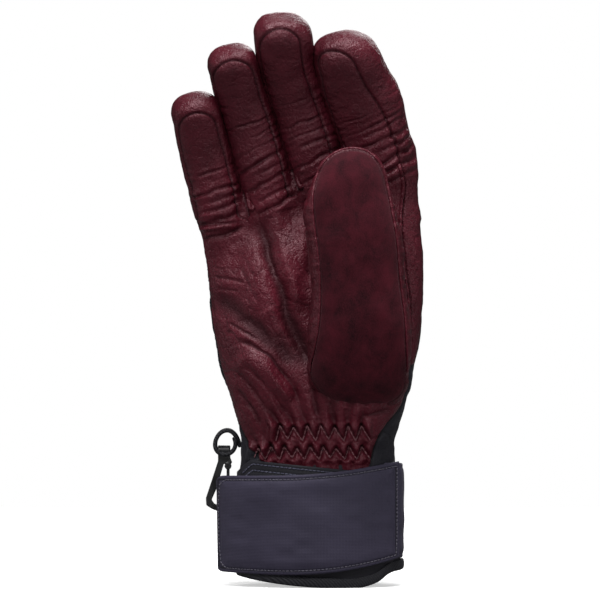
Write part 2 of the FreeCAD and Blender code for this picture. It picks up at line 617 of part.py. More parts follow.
bad = [o.Name for o in doc.Objects if "Invalid" in o.State or "Error" in o.State]
if bad:
    raise SystemExit(f"objects that failed: {bad}")
os.makedirs("parts", exist_ok=True)
for obj in nodes:
    shape = obj.Shape
    if shape.isNull() or not shape.isValid() or not shape.Solids:
        raise SystemExit(f"{obj.Label} has no valid solid")
    shape.exportStep(f"parts/{obj.Label}.step")
    box = shape.BoundBox
    sides = ((box.XMin, box.XMax), (box.YMin, box.YMax), (box.ZMin, box.ZMax))
    extent = "  ".join(f"{axis} {low:.1f}..{high:.1f}" for axis, (low, high) in zip("xyz", sides))
    print(f"{obj.Label:26s} {len(shape.Solids)} solid(s) {shape.Volume:10.1f} mm3  {extent}")
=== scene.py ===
"""Looks of the leather ski glove: skin panels, seams, stitches, suede patch, cuff, strap and hook.

Lengths inside the script are millimetres in the row frame (+X thumb side, -Y palm side, +Z fingertips).
A mesh is scaled to metres when it becomes an object.
"""

import math

import bpy
import numpy as np
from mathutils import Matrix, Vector
from mathutils.bvhtree import BVHTree


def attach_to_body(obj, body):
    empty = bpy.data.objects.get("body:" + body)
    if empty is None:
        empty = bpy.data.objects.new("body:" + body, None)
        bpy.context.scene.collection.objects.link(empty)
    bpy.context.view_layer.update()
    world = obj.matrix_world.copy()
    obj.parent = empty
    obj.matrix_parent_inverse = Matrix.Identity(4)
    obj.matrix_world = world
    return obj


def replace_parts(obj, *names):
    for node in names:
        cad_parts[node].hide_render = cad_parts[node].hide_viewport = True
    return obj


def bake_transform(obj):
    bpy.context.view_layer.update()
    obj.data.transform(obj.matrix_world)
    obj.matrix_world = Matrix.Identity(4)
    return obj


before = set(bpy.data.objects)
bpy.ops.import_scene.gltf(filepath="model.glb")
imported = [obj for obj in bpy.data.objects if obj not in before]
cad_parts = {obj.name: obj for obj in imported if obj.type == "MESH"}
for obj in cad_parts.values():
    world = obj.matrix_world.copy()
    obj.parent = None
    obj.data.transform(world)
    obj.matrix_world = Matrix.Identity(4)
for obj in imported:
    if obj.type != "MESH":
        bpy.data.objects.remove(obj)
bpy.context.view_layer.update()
MM = 0.001
GRID = 1.0  # spacing of the grid that the skin is drawn on
SPACING = GRID / 2  # spacing of the skin's points once it is refined

# ---------------------------------------------------------------- driving sizes

# For each finger: base centre (x, z), lean to the little-finger side, forward tilt, bend at the middle
# knuckle and at the last one, lengths of the base and of the tip up to its round end; stations of (place
# along the finger, shift to the thumb side, half width); half width of the root that runs down into the palm;
# depth over width; how blunt and how slanted the end is; the edges of its palm panel as shares of the half
# width (left, right at the tip, right at the root), and how far that panel's arch reaches up the tip.
FINGERS = {
    "index": dict(base=(31, 198), lean=18.2, tilt=7, bend=15, last=9, lengths=(31.7, 29.6), root=8,
                  stations=((6, 0, 16.4), (26, 1.7, 17.7), (39, 1.7, 18.5), (52, 0.5, 17.3), (62, 0.3, 16.2),
                            (75, -1, 15.6)),
                  depth=0.86, blunt=2.4, slant=0.05, panel=(-0.93, 0.20, 0.62), arch=5.2),
    "middle": dict(base=(2.3, 189.5), lean=15.4, tilt=3, bend=17, last=9, lengths=(41.1, 38.9), root=9,
                   stations=((6, 0, 13.2), (25, -0.4, 14.1), (42, -0.4, 13.9), (57, -1.1, 13.9),
                             (66, -1.1, 13.9), (75, -0.4, 14.2), (84, 0.9, 14.4)),
                   depth=0.92, blunt=3, slant=0.20, panel=(-0.93, 0.52, 0.70), arch=4.6),
    "ring": dict(base=(-22.4, 182.1), lean=14.2, tilt=4, bend=15, last=9, lengths=(41.9, 30.6), root=9,
                 stations=((6, -0.8, 12.9), (21, -0.9, 13.3), (38, -1.2, 13.1), (57, -2.1, 12.7),
                           (72.5, -2.1, 12.2)),
                 depth=0.94, blunt=3.2, slant=0, panel=(-0.93, 0.77, 0.77), arch=3.8),
    "pinky": dict(base=(-46.8, 174.9), lean=12.4, tilt=4, bend=12, last=9, lengths=(31.7, 22.9), root=8,
                  stations=((6, -0.5, 12.4), (30, -0.9, 12.8), (46, -1.3, 12.4), (54.6, -1.2, 12)),
                  depth=0.94, blunt=3, slant=0, panel=(-0.88, 0.74, 0.74), arch=1.2),
}
NAMES = tuple(FINGERS)
ROOT_DEPTH = 22.0  # how far a finger's field reaches down into the palm
SQUARENESS = 2.5  # power of the rounded-square sections: 2 is an ellipse
PANEL_THICKNESS = 1.1  # of the leather and softshell

# Outline of the hand, seen from the palm: heights, left and right edges, front and back surfaces.
HAND_Z = (50, 62, 72, 85, 100, 120, 145, 163, 182, 205)
HAND_LEFT = (-39, -38.6, -38.6, -41.8, -46.8, -51.8, -54.6, -56.8, -62.2, -68)
HAND_RIGHT = (37, 36, 36, 39.8, 43.8, 48.6, 50, 49.8, 47.8, 44)
HAND_FRONT = (20, 20, 20.5, 22, 22.5, 21.5, 19.5, 17.5, 14.5, 11)
HAND_BACK = (20.5, 20.5, 20.5, 21.5, 22.5, 22.5, 21, 19, 15.5, 12)
WEB_HEIGHT, WEB_SLOPE, WEB_X = 191, 0.5, -9.8  # the line of the crotches between the fingers
WEBS = ((-33.8, 181.5), (-9.8, 192.6), (14.5, 204.5))  # (x, z) of the crotches

# Outline of the suede patch on the thumb, as (x, z), clockwise from the top.
SUEDE = (
    (15.7, 211.3), (24.1, 209), (30, 202), (32.4, 192), (34.6, 179), (37, 166), (38, 150),
    (40.2, 133), (41.4, 119), (41.9, 104), (41, 93.5), (34, 87.8), (21, 86.3), (9, 88.4),
    (0.6, 92.8), (-4.4, 99.5), (-5, 106.5), (-2.8, 114.5), (-0.8, 126), (0, 140), (-0.6, 158),
    (-2.8, 172), (-4, 184), (-2.8, 195.5), (1.4, 204.4), (8, 209.6),
)
THUMB_Z = (80, 92, 104, 120, 150, 180, 200, 214)
THUMB_FRONT = (26, 33, 39.5, 44, 46, 45.8, 43.8, 41)
THUMB_BACK = (6, 10, 14, 20, 22.5, 23, 23.5, 24.5)

# ---------------------------------------------------------------- number helpers


def smooth(low, high, x):
    """0 below low, 1 above high, and a smooth step between."""
    t = np.clip((x - low) / (high - low), 0, 1)
    return t * t * (3 - 2 * t)


def soft_min(a, b, k):
    """The smaller of two values, with the change from one to the other rounded over k."""
    blend = np.clip(0.5 + 0.5 * (b - a) / k, 0, 1)
    return b + (a - b) * blend - k * blend * (1 - blend)


def soft_max(a, b, k):
    return -soft_min(-a, -b, k)


def bell(x, width):
    """1 at x = 0, falling off on both sides."""
    return np.exp(-((x / width) ** 2))


def curve(x, xs, ys):
    """Smooth interpolation through given points: Catmull-Rom in one variable."""
    xs, ys = np.asarray(xs, float), np.asarray(ys, float)
    slope = np.gradient(ys, xs)
    i = np.clip(np.searchsorted(xs, x) - 1, 0, len(xs) - 2)
    width = xs[i + 1] - xs[i]
    t = np.clip((x - xs[i]) / width, 0, 1)
    t2, t3 = t * t, t * t * t
    return ((2 * t3 - 3 * t2 + 1) * ys[i] + (t3 - 2 * t2 + t) * slope[i] * width
            + (3 * t2 - 2 * t3) * ys[i + 1] + (t3 - t2) * slope[i + 1] * width)


def hash_corner(ix, iy, iz, seed):
    """A repeatable value in -1..1 for a corner of the noise's grid."""
    n = (ix * 374761393 + iy * 668265263 + iz * 2147483647 + seed * 1274126177) & 0xFFFFFFFF
    n = ((n ^ (n >> 13)) * 1274126177) & 0xFFFFFFFF
    return ((n ^ (n >> 16)) & 0xFFFF) / 32767.5 - 1


def noise(p, size, seed=0):
    """Smooth value noise in -1..1 with cells of a size, which may differ by axis."""
    q = np.asarray(p, float) / size
    cell = np.floor(q).astype(np.int64)
    t = q - cell
    t = t * t * t * (t * (t * 6 - 15) + 10)
    total = 0
    for dx in (0, 1):
        for dy in (0, 1):
            for dz in (0, 1):
                w = (t[:, 0] if dx else 1 - t[:, 0]) * (t[:, 1] if dy else 1 - t[:, 1])
                w = w * (t[:, 2] if dz else 1 - t[:, 2])
                total = total + w * hash_corner(cell[:, 0] + dx, cell[:, 1] + dy, cell[:, 2] + dz, seed)
    return total


def wander(p, size, amount, seed):
    """Points moved about by noise, for lines that are not ruled."""
    return p + amount * np.stack([noise(p, size, seed + n) for n in range(3)], 1)


def polyline(points, rounds=3, closed=False):
    """A smooth line through given points, by corner cutting that keeps its ends."""
    line = np.asarray(points, float)
    for _ in range(rounds):
        after = np.roll(line, -1, 0) if closed else line[1:]
        before = line if closed else line[:-1]
        cut = np.stack([before * 0.75 + after * 0.25, before * 0.25 + after * 0.75], 1)
        cut = cut.reshape(-1, line.shape[1])
        line = cut if closed else np.vstack([line[:1], cut, line[-1:]])
    return line


def lengths_along(points):
    """How far along a line each of its points lies."""
    return np.concatenate([[0], np.cumsum(np.linalg.norm(np.diff(points, axis=0), axis=1))])


def along_line(line, at, values=None):
    """The line's coordinates, or other values kept for its points, at given lengths along it."""
    lengths = lengths_along(line)
    return [np.interp(at, lengths, column) for column in (line if values is None else values).T]


def line_distance(p, line, closed=False):
    """Distance in a plane from each point to a line, the share along it, and the side (+ left, - right)."""
    best = np.full(len(p), 1e9)
    along = np.zeros(len(p))
    side = np.zeros(len(p))
    ends = np.vstack([line, line[:1]]) if closed else line
    steps = np.linalg.norm(np.diff(ends, axis=0), axis=1)
    start = np.concatenate([[0], np.cumsum(steps)])
    for n, (a, b) in enumerate(zip(ends[:-1], ends[1:])):
        d = b - a
        t = np.clip(((p - a) @ d) / (d @ d), 0, 1)
        off = p - a - t[:, None] * d
        distance = np.hypot(off[:, 0], off[:, 1])
        near = distance < best
        best[near] = distance[near]
        along[near] = (start[n] + t * steps[n])[near] / start[-1]
        side[near] = np.sign(d[0] * off[:, 1] - d[1] * off[:, 0])[near]
    return best, along, side


def inside_distance(p, outline):
    """Signed distance to a closed outline: negative inside."""
    distance, _, _ = line_distance(p, outline, closed=True)
    inside = np.zeros(len(p), bool)
    for a, b in zip(outline, np.roll(outline, -1, 0)):
        crosses = (a[1] > p[:, 1]) != (b[1] > p[:, 1])
        if crosses.any():
            x = a[0] + (p[:, 1] - a[1]) * (b[0] - a[0]) / (b[1] - a[1] + 1e-12)
            inside ^= crosses & (p[:, 0] < x)
    return np.where(inside, -distance, distance)


# ---------------------------------------------------------------- the shape of the hand


def finger_axis(finger):
    """The finger's line in its own leaned plane, as (t, y) points: t runs along the finger."""
    f = FINGERS[finger]
    base, tip = f["lengths"]
    first = math.radians(f["tilt"])
    second = first + math.radians(f["bend"])
    third = second + math.radians(f["last"])
    knuckle = np.array([base * math.cos(first), -base * math.sin(first)])
    last = knuckle + tip * 0.5 * np.array([math.cos(second), -math.sin(second)])
    end = last + tip * 0.5 * np.array([math.cos(third), -math.sin(third)])
    root = np.array([-ROOT_DEPTH * math.cos(first), ROOT_DEPTH * math.sin(first)])
    return polyline([root, knuckle * 0.5, knuckle, last, end], 3)


AXES = {finger: finger_axis(finger) for finger in NAMES}


def finger_coordinates(p, finger):
    """(s along the finger from its base, u to the thumb side, v to the back), all in millimetres."""
    f = FINGERS[finger]
    lean = math.radians(f["lean"])
    x, z = p[:, 0] - f["base"][0], p[:, 2] - f["base"][1]
    u = x * math.cos(lean) + z * math.sin(lean)
    t = -x * math.sin(lean) + z * math.cos(lean)
    y = p[:, 1]
    line = AXES[finger]
    steps = np.linalg.norm(np.diff(line, axis=0), axis=1)
    start = np.concatenate([[0], np.cumsum(steps)]) - ROOT_DEPTH
    best = np.full(len(p), 1e9)
    s, v = np.zeros(len(p)), np.zeros(len(p))
    for n in range(len(steps)):
        d = (line[n + 1] - line[n]) / steps[n]
        dt, dy = t - line[n][0], y - line[n][1]
        along = dt * d[0] + dy * d[1]
        low = -1e9 if n == 0 else 0
        high = 1e9 if n == len(steps) - 1 else steps[n]
        clipped = np.clip(along, low, high)
        across = dy * d[0] - dt * d[1]
        distance = np.hypot(along - clipped, across)
        near = distance < best
        best[near] = distance[near]
        s[near] = (start[n] + clipped)[near]
        v[near] = across[near]
    return s, u - finger_station(finger, s, 1), v


def finger_length(finger):
    return sum(FINGERS[finger]["lengths"])


def finger_station(finger, s, column):
    """The finger's shift (1) or half width (2) at a place along it."""
    stations = FINGERS[finger]["stations"]
    return curve(s, [station[0] for station in stations], [station[column] for station in stations])


def finger_field(p, finger):
    """Roughly the distance to the finger's surface. Its section is a rounded square, its end a blunt dome."""
    f = FINGERS[finger]
    s, u, v = finger_coordinates(p, finger)
    base, length = f["lengths"][0], finger_length(finger)
    half = finger_station(finger, s, 2)
    half = f["root"] + (half - f["root"]) * smooth(-ROOT_DEPTH, f["stations"][0][0], s)
    deep = half * f["depth"] * (1 + 0.04 * smooth(base * 0.2, base, s))
    past = np.maximum(s - length + f["slant"] * np.maximum(u + half / 2, 0), 0)
    inner = (np.abs(u) / half) ** SQUARENESS + (np.abs(v) / deep) ** SQUARENESS
    inner += (past / (half * 0.98)) ** f["blunt"]
    field = (inner ** (1 / SQUARENESS) - 1) * half
    return np.maximum(field, -(s + ROOT_DEPTH))


def hand_section(z):
    """Centre and half width of the hand at a height."""
    left, right = curve(z, HAND_Z, HAND_LEFT), curve(z, HAND_Z, HAND_RIGHT)
    return (left + right) / 2, (right - left) / 2


def egg(p, centre, radii):
    """0 on an ellipsoid, -1 at its centre."""
    return np.sqrt((((p - centre) / radii) ** 2).sum(1)) - 1


# Swellings of the palm: centre, radii, height of the field inside, and how softly it joins.
MOUNDS = [((17, -12, 101), (21, 17, 29), 17, 12), ((-25, -10, 112), (15, 14, 34), 14, 10)]
WEB_EGGS = [((x, 1, z - 3), (5.0, 9.5, 12.0), 6, 3) for x, z in WEBS]


def hand_field(p):
    x, y, z = p.T
    centre, half = hand_section(z)
    below = WEB_HEIGHT + WEB_SLOPE * (x - WEB_X) - z
    thin = 0.42 + 0.58 * smooth(-4, 34, below)
    deep = np.where(y < 0, curve(z, HAND_Z, HAND_FRONT) * thin, curve(z, HAND_Z, HAND_BACK) * thin)
    inner = (np.abs(x - centre) / half) ** SQUARENESS + (np.abs(y) / deep) ** SQUARENESS
    field = (inner ** (1 / SQUARENESS) - 1) * np.minimum(half, deep * 1.3)
    for place, radii, height, blend in MOUNDS:
        field = soft_min(field, egg(p, place, radii) * height, blend)
    field = soft_max(field, -below * 0.89, 8)
    for place, radii, height, blend in WEB_EGGS:
        field = soft_min(field, egg(p, place, radii) * height, blend)
    return field


def joined_field(p, finger, hand=None):
    """One finger flowing into the hand."""
    hand = hand_field(p) if hand is None else hand
    return soft_min(hand, finger_field(p, finger), 5)


def glove_field(p):
    """The hand and its four fingers. Fingers flow into the hand, but not into each other."""
    hand = hand_field(p)
    field = hand.copy()
    for finger in NAMES:
        f = FINGERS[finger]
        x, z = p[:, 0] - f["base"][0], p[:, 2] - f["base"][1]
        beside = x + z * math.sin(math.radians(f["lean"]))
        near = (np.abs(beside) < f["root"] + 28) & (z > -ROOT_DEPTH - 6)
        field[near] = np.minimum(field[near], joined_field(p[near], finger, hand[near]))
    return field


THUMB_LINE = polyline(SUEDE, 2, closed=True)


def thumb_outline(p):
    """Signed distance from the thumb's own outline: the suede's, wider where its leather sides show."""
    x, _, z = p.T
    left = (x < 16) * smooth(105, 125, z) * (1 - smooth(180, 200, z))
    right = (x >= 16) * smooth(100, 120, z) * (1 - smooth(165, 195, z))
    return inside_distance(p[:, [0, 2]], THUMB_LINE) - 1.1 - 3.4 * left - 1.6 * right


def thumb_depths(z):
    """Half the thumb's depth at a height, and the y of its middle."""
    front, back = curve(z, THUMB_Z, THUMB_FRONT), curve(z, THUMB_Z, THUMB_BACK)
    return (front - back) / 2, -(front + back) / 2


def thumb_field(p):
    """Roughly the distance to the thumb: its outline, with rounded edges and a slight crown."""
    distance = thumb_outline(p)
    half, middle = thumb_depths(p[:, 2])
    radius = np.minimum(half - 0.3, 11.5)
    over = np.maximum(distance + radius, 0)
    deep = np.maximum(np.abs(p[:, 1] - middle) - (half - radius), 0)
    crown = 1.6 * smooth(0, 16, -distance) * (p[:, 1] < middle)
    return np.hypot(over, deep) - radius - crown


# ---------------------------------------------------------------- meshes from fields


def surface_nets(values, low, step):
    """Vertices and quads of the zero surface of a grid of values."""
    inside = values < 0
    shape = np.array(values.shape) - 1
    total = np.zeros((*shape, 3))
    count = np.zeros(shape)
    crossings = []
    for axis in range(3):
        a = [slice(None)] * 3
        b = [slice(None)] * 3
        a[axis], b[axis] = slice(0, -1), slice(1, None)
        va, vb = values[tuple(a)], values[tuple(b)]
        cells = np.argwhere(inside[tuple(a)] != inside[tuple(b)])
        others = [n for n in range(3) if n != axis]
        keep = np.all((cells[:, others] > 0) & (cells[:, others] < shape[others]), axis=1)
        cells = cells[keep]
        first, second = va[tuple(cells.T)], vb[tuple(cells.T)]
        point = cells.astype(float)
        point[:, axis] += first / (first - second)
        crossings.append((axis, others, cells, first < 0))
        for da in (0, -1):
            for db in (0, -1):
                cell = cells.copy()
                cell[:, others[0]] += da
                cell[:, others[1]] += db
                np.add.at(total, tuple(cell.T), point)
                np.add.at(count, tuple(cell.T), 1)
    used = np.argwhere(count > 0)
    index = np.full(shape, -1, np.int64)
    index[tuple(used.T)] = np.arange(len(used))
    vertices = total[tuple(used.T)] / count[tuple(used.T)][:, None] * step + low
    quads = []
    for axis, others, cells, outward in crossings:
        ring = []
        for da, db in ((0, 0), (-1, 0), (-1, -1), (0, -1)):
            cell = cells.copy()
            cell[:, others[0]] += da
            cell[:, others[1]] += db
            ring.append(index[tuple(cell.T)])
        ring = np.stack(ring, 1)
        flip = ~outward if axis != 1 else outward
        quads.append(np.where(flip[:, None], ring[:, ::-1], ring))
    return vertices, np.vstack(quads)


def gradient(field, p, step=0.15):
    """The slope of a field at each point."""
    out = np.empty_like(p)
    for n in range(3):
        offset = np.zeros(3)
        offset[n] = step
        out[:, n] = (field(p + offset) - field(p - offset)) / (2 * step)
    return out


def settle(field, p, rounds=3, reach=0.6):
    """Moves points onto the zero surface of a field."""
    for _ in range(rounds):
        slope = gradient(field, p)
        move = field(p)[:, None] * slope / np.maximum((slope ** 2).sum(1), 0.05)[:, None]
        size = np.linalg.norm(move, axis=1, keepdims=True)
        p = p - move * np.minimum(1, reach / np.maximum(size, 1e-9))
    return p


def field_mesh(field, low, high, step):
    """The zero surface of a field inside a box, drawn slab by slab."""
    low, high = np.asarray(low, float), np.asarray(high, float)
    axes = [np.arange(low[n], high[n] + step, step) for n in range(3)]
    values = np.empty([len(a) for a in axes])
    flat_y, flat_z = np.meshgrid(axes[1], axes[2], indexing="ij")
    slab = 12
    for start in range(0, len(axes[0]), slab):
        part = axes[0][start:start + slab]
        points = np.empty((len(part), *flat_y.shape, 3))
        points[..., 0] = part[:, None, None]
        points[..., 1], points[..., 2] = flat_y, flat_z
        values[start:start + slab] = field(points.reshape(-1, 3)).reshape(points.shape[:-1])
    vertices, quads = surface_nets(values, low, step)
    return settle(field, vertices), quads


def make_object(name, vertices, faces):
    """A smooth-shaded object from vertices in millimetres and faces of any number of corners."""
    mesh = bpy.data.meshes.new(name)
    mesh.vertices.add(len(vertices))
    mesh.vertices.foreach_set("co", (np.asarray(vertices) * MM).astype(np.float32).ravel())
    faces = [np.asarray(f) for f in faces] if not isinstance(faces, np.ndarray) else faces
    sizes = np.array([len(f) for f in faces])
    mesh.loops.add(int(sizes.sum()))
    mesh.loops.foreach_set("vertex_index", np.concatenate(faces).astype(np.int32))
    mesh.polygons.add(len(faces))
    mesh.polygons.foreach_set("loop_start", np.concatenate([[0], np.cumsum(sizes)[:-1]]).astype(np.int32))
    mesh.update(calc_edges=True)
    mesh.polygons.foreach_set("use_smooth", np.full(len(faces), True))
    mesh.validate()
    obj = bpy.data.objects.new(name, mesh)
    bpy.context.scene.collection.objects.link(obj)
    return obj


def read_mesh(obj):
    """Vertices in millimetres and the mesh's normals."""
    count = len(obj.data.vertices)
    co = np.empty(count * 3, np.float32)
    obj.data.vertices.foreach_get("co", co)
    normal = np.empty(count * 3, np.float32)
    obj.data.vertex_normals.foreach_get("vector", normal)
    return co.reshape(-1, 3).astype(float) / MM, normal.reshape(-1, 3).astype(float)


def apply_modifiers(obj):
    """Swaps an object's mesh for what its modifiers make of it."""
    depsgraph = bpy.context.evaluated_depsgraph_get()
    mesh = bpy.data.meshes.new_from_object(obj.evaluated_get(depsgraph))
    obj.modifiers.clear()
    old = obj.data
    obj.data = mesh
    bpy.data.meshes.remove(old)


def refine(obj):
    obj.modifiers.new("refine", "SUBSURF").levels = 1
    apply_modifiers(obj)


# ---------------------------------------------------------------- seams and creases of the skin

# The palm panel's two side seams, as (x, z) from the fingers down to the wrist.
LEFT_SEAM = ((-64.5, 192), (-61.4, 181), (-58.4, 170), (-56.2, 158), (-54.6, 143), (-52.4, 122),
             (-47.6, 102), (-43.8, 90), (-41.6, 82), (-36.8, 72), (-31.5, 64.5), (-27.5, 59.5),
             (-24, 48))
RIGHT_SEAM = ((37, 214), (39, 204), (41.6, 196), (41, 188), (39.8, 176), (40.4, 164),
              (42.2, 150), (44, 138), (44.3, 124), (43.8, 108), (42.6, 96), (40.2, 87),
              (33.5, 79.5), (28, 71), (25, 62), (23, 48))
# How far along a finger it parts from its neighbours on its left and its right, and its own panels start.
CROTCH = {"index": (11, 22), "middle": (5.5, 11), "ring": (0.8, 6), "pinky": (10, 2)}
PANEL_START = {"index": 16, "middle": 16, "ring": 11.5, "pinky": 9}
PAD_SHADE = 0.42  # painted shade: how much darker the pads are painted than the palm, as they turn down from the light
STARTS = np.array([PANEL_START[finger] for finger in NAMES])


def pad_distance(s, u, v, finger):
    """Signed distance from the arch-shaped seam of a finger's palm panel: negative on the panel."""
    f = FINGERS[finger]
    length = finger_length(finger)
    half = finger_station(finger, s, 2)
    low, at_tip, at_root = f["panel"]
    high = at_root + (at_tip - at_root) * np.clip(s / length, 0, 1)
    reach = half * (high - low) / 2
    end = length + finger_station(finger, length, 2) * 0.48 + f["arch"] - reach
    round_end = np.hypot(u - half * (low + high) / 2, np.maximum(s - end, 0)) - reach
    return np.where(v < half * 0.25, round_end, np.maximum(round_end, 4.0))


def skin_coordinates(p, owner=None):
    """For each point: which finger it belongs to (the nearest, or the owner), and its s, u, v on it."""
    if owner is not None:
        return (np.full(len(p), NAMES.index(owner)), *finger_coordinates(p, owner))
    fields = np.stack([finger_field(p, finger) for finger in NAMES], 1)
    nearest = fields.argmin(1)
    s, u, v = np.zeros(len(p)), np.zeros(len(p)), np.zeros(len(p))
    for n, finger in enumerate(NAMES):
        mine = nearest == n
        s[mine], u[mine], v[mine] = finger_coordinates(p[mine], finger)
    return nearest, s, u, v


def panel_distance(p, owner=None):
    """Signed distance from the edge of the front leather, palm and finger panels: negative inside."""
    nearest, s, u, v = skin_coordinates(p, owner)
    flat = p[:, [0, 2]]
    to_left, _, side_left = line_distance(flat, polyline(LEFT_SEAM, 2))
    to_right, _, side_right = line_distance(flat, polyline(RIGHT_SEAM, 2))
    palm = np.maximum(-to_left * side_left, to_right * side_right)
    palm = np.where(p[:, 1] < 4, palm, 6)
    panels = palm.copy()
    for n, finger in enumerate(NAMES):
        mine = nearest == n
        low, high = CROTCH[finger]
        crotch = low + (high - low) * np.clip(u[mine] / (2 * FINGERS[finger]["stations"][0][2]) + 0.5, 0, 1)
        share = smooth(-7.0, -0.5, s[mine] - crotch)
        pad = pad_distance(s[mine], u[mine], v[mine], finger)
        panels[mine] = palm[mine] * (1 - share) + pad * share
    return panels


def border_distance(p):
    """Height above the line where the leather of the sides and back gives way to softshell."""
    x, y, z = p.T
    right = 108 + 44 * smooth(-6, 8, y)
    left = 160 - 8 * smooth(-4, 8, y)
    share = smooth(-12, 12, x)
    return z - left * (1 - share) - right * share - 1.2 * np.sin(x / 9)


def back_seam_distance(s, u, v, finger):
    """Signed distance from the seam round the panel on the back of a finger."""
    length = finger_length(finger)
    half = finger_station(finger, s, 2)
    reach = half * 0.74
    end = length + finger_station(finger, length, 2) * 0.35 - reach
    seam = np.hypot(u + 0.03 * half, np.maximum(s - end, 0)) - reach
    return np.where(v > 0, seam, 9.0)


# Creases across each finger's palm side: place along the finger, depth, width, slope across, and the
# stretch of the finger's width that they cover, from -1 at the little-finger side to 1.
CREASES = {
    "pinky": (
        (-2.5, 0.9, 1.1, -0.10, -1.3, 0.5), (3.5, 1.2, 1.1, 0.06, -1.2, 0.9), (8.5, 0.6, 0.8, 0.10, -0.8, 0.9),
        (12.6, 0.5, 0.8, 0.12, -0.4, 0.9), (17.3, 1, 0.9, 0.08, -1, 0.9), (22, 0.3, 0.7, 0.15, 0, 0.9),
        (27, 0.6, 0.8, 0.14, -0.5, 0.9)),
    "ring": (
        (1.5, 1, 1.1, 0.28, -0.5, 1), (7, 0.5, 0.9, 0.20, -0.4, 0.9), (14, 0.7, 0.9, 0.28, -0.8, 0.9),
        (19.5, 0.4, 0.7, 0.25, -0.1, 0.9), (24, 1.2, 1, 0.30, -0.8, 0.9), (31.5, 0.5, 0.8, 0.20, -0.6, 0.9),
        (38.4, 0.45, 0.7, 0.16, 0, 0.9), (46, 0.75, 0.8, 0.12, -0.6, 0.8)),
    "middle": (
        (10, 0.6, 0.9, 0.20, -0.8, 0.9), (17.5, 0.6, 0.9, 0.20, -0.8, 0.9), (25.5, 1, 0.9, 0.10, -0.4, 0.9),
        (31, 0.5, 0.7, 0.10, -0.8, 0.8), (38, 0.8, 0.8, 0.08, -0.8, 0.9), (51, 0.35, 0.7, 0.05, -0.8, 0.2)),
    "index": (
        (-2, 1, 1, 0.10, -1, 0.9), (3.5, 1.2, 1, 0.06, -1, 0.9), (8, 1, 0.9, 0.12, -0.2, 0.9),
        (12.8, 0.9, 0.9, 0.16, 0, 0.9), (18.3, 1.3, 1, 0.08, -0.9, 0.8), (23.5, 0.6, 0.8, 0.14, -0.2, 0.7),
        (27.5, 0.6, 0.8, 0.16, -0.6, 0.7), (31.5, 0.35, 0.7, 0.16, 0.2, 0.7), (36, 0.4, 0.7, 0.10, -0.9, 0)),
}

# Soft ridges and hollows of the palm as (x, z) lines, with height, half width, and taper at both ends.
PALM_FOLDS = (
    (((-28.4, 180), (-25.6, 164), (-21, 147), (-14.5, 127), (-7, 112), (-2, 101)), -3.4, 3.2),
    (((-23, 183), (-18.2, 164), (-13, 148), (-8, 132)), 2.9, 4.4),
    (((-36, 173), (-33, 158), (-28, 143), (-20, 127)), 1.7, 5.5),
    (((-54, 143), (-42, 134), (-30, 125), (-18, 114), (-9, 102)), -2.6, 5),
    (((-42, 112), (-32, 107), (-22, 99), (-14, 88)), 2.6, 5.5),
    (((-43, 119.5), (-33, 117), (-25.5, 112), (-17, 103), (-12, 95), (-8, 87)), -1.7, 1.3),
    (((-38, 108), (-29, 101), (-20, 90), (-15, 80)), -1.3, 1.2),
    (((-41, 104), (-33, 96), (-26, 86), (-22, 78)), -1.4, 1.3),
    (((-42, 97), (-36, 90), (-31, 82), (-28, 75)), -1.4, 1.3),
    (((-30, 112), (-20, 103), (-14, 92)), -0.9, 0.9),
    (((-4, 98), (-3, 90), (-1.5, 81)), -1.5, 1.5),
    (((4, 90), (4.5, 84), (5.5, 79)), -1.2, 1.2),
    (((12, 86), (12, 82), (13, 79)), -1, 1.2),
    (((36, 86), (28, 84), (20, 80.5)), -1.5, 1.3),
    (((38, 90.5), (28, 90), (20, 86), (15, 82)), 1.2, 2.2),
    (((-52, 149.5), (-44, 148.5), (-36, 146)), -0.9, 0.8),
    (((-51, 144), (-45, 143.5), (-39, 142)), -0.6, 0.7),
    (((-46, 128), (-38, 124), (-29, 118.5)), -0.8, 0.8),
    (((-60, 166.5), (-50, 168), (-42, 170), (-36, 174.5)), -1.9, 1.1),
    (((-60, 173), (-50, 174.5), (-40, 176)), -1.3, 1),
    (((-7, 190), (-6, 176), (-5.5, 160), (-5, 145)), -1.6, 1.6),
)

# Zigzag rows over the elastic: (x, z) of the peaks and valleys.
ROW_TOP = dict(peak=77.6, valley=70.8, start=-19.4, pitch=6.55, count=7)
ROW_LOW = dict(peak=67.4, valley=61.8, start=-29.9, pitch=6.25, count=9)
STROKE = 0.36  # how far before its peak a tooth's valley lies, as a share of the pitch


def zigzag(row):
    """Corners of a zigzag, each a little out of place."""
    points = []
    for n in range(row["count"]):
        x = row["start"] + n * row["pitch"]
        wobble = 0.6 * math.sin(n * 2.1 + row["start"])
        points.append((x - row["pitch"] * STROKE + 0.5 * math.cos(n * 3.7), row["valley"] + wobble))
        points.append((x, row["peak"] - wobble))
    points.append((points[-1][0] + row["pitch"] * (1 - STROKE), row["valley"]))
    return np.array(points)


WRINKLES = (((5.0, 9.0, 16.0), 0.50, 140), ((2.6, 5.0, 7.0), 0.26, 141))  # cell size, depth, seed


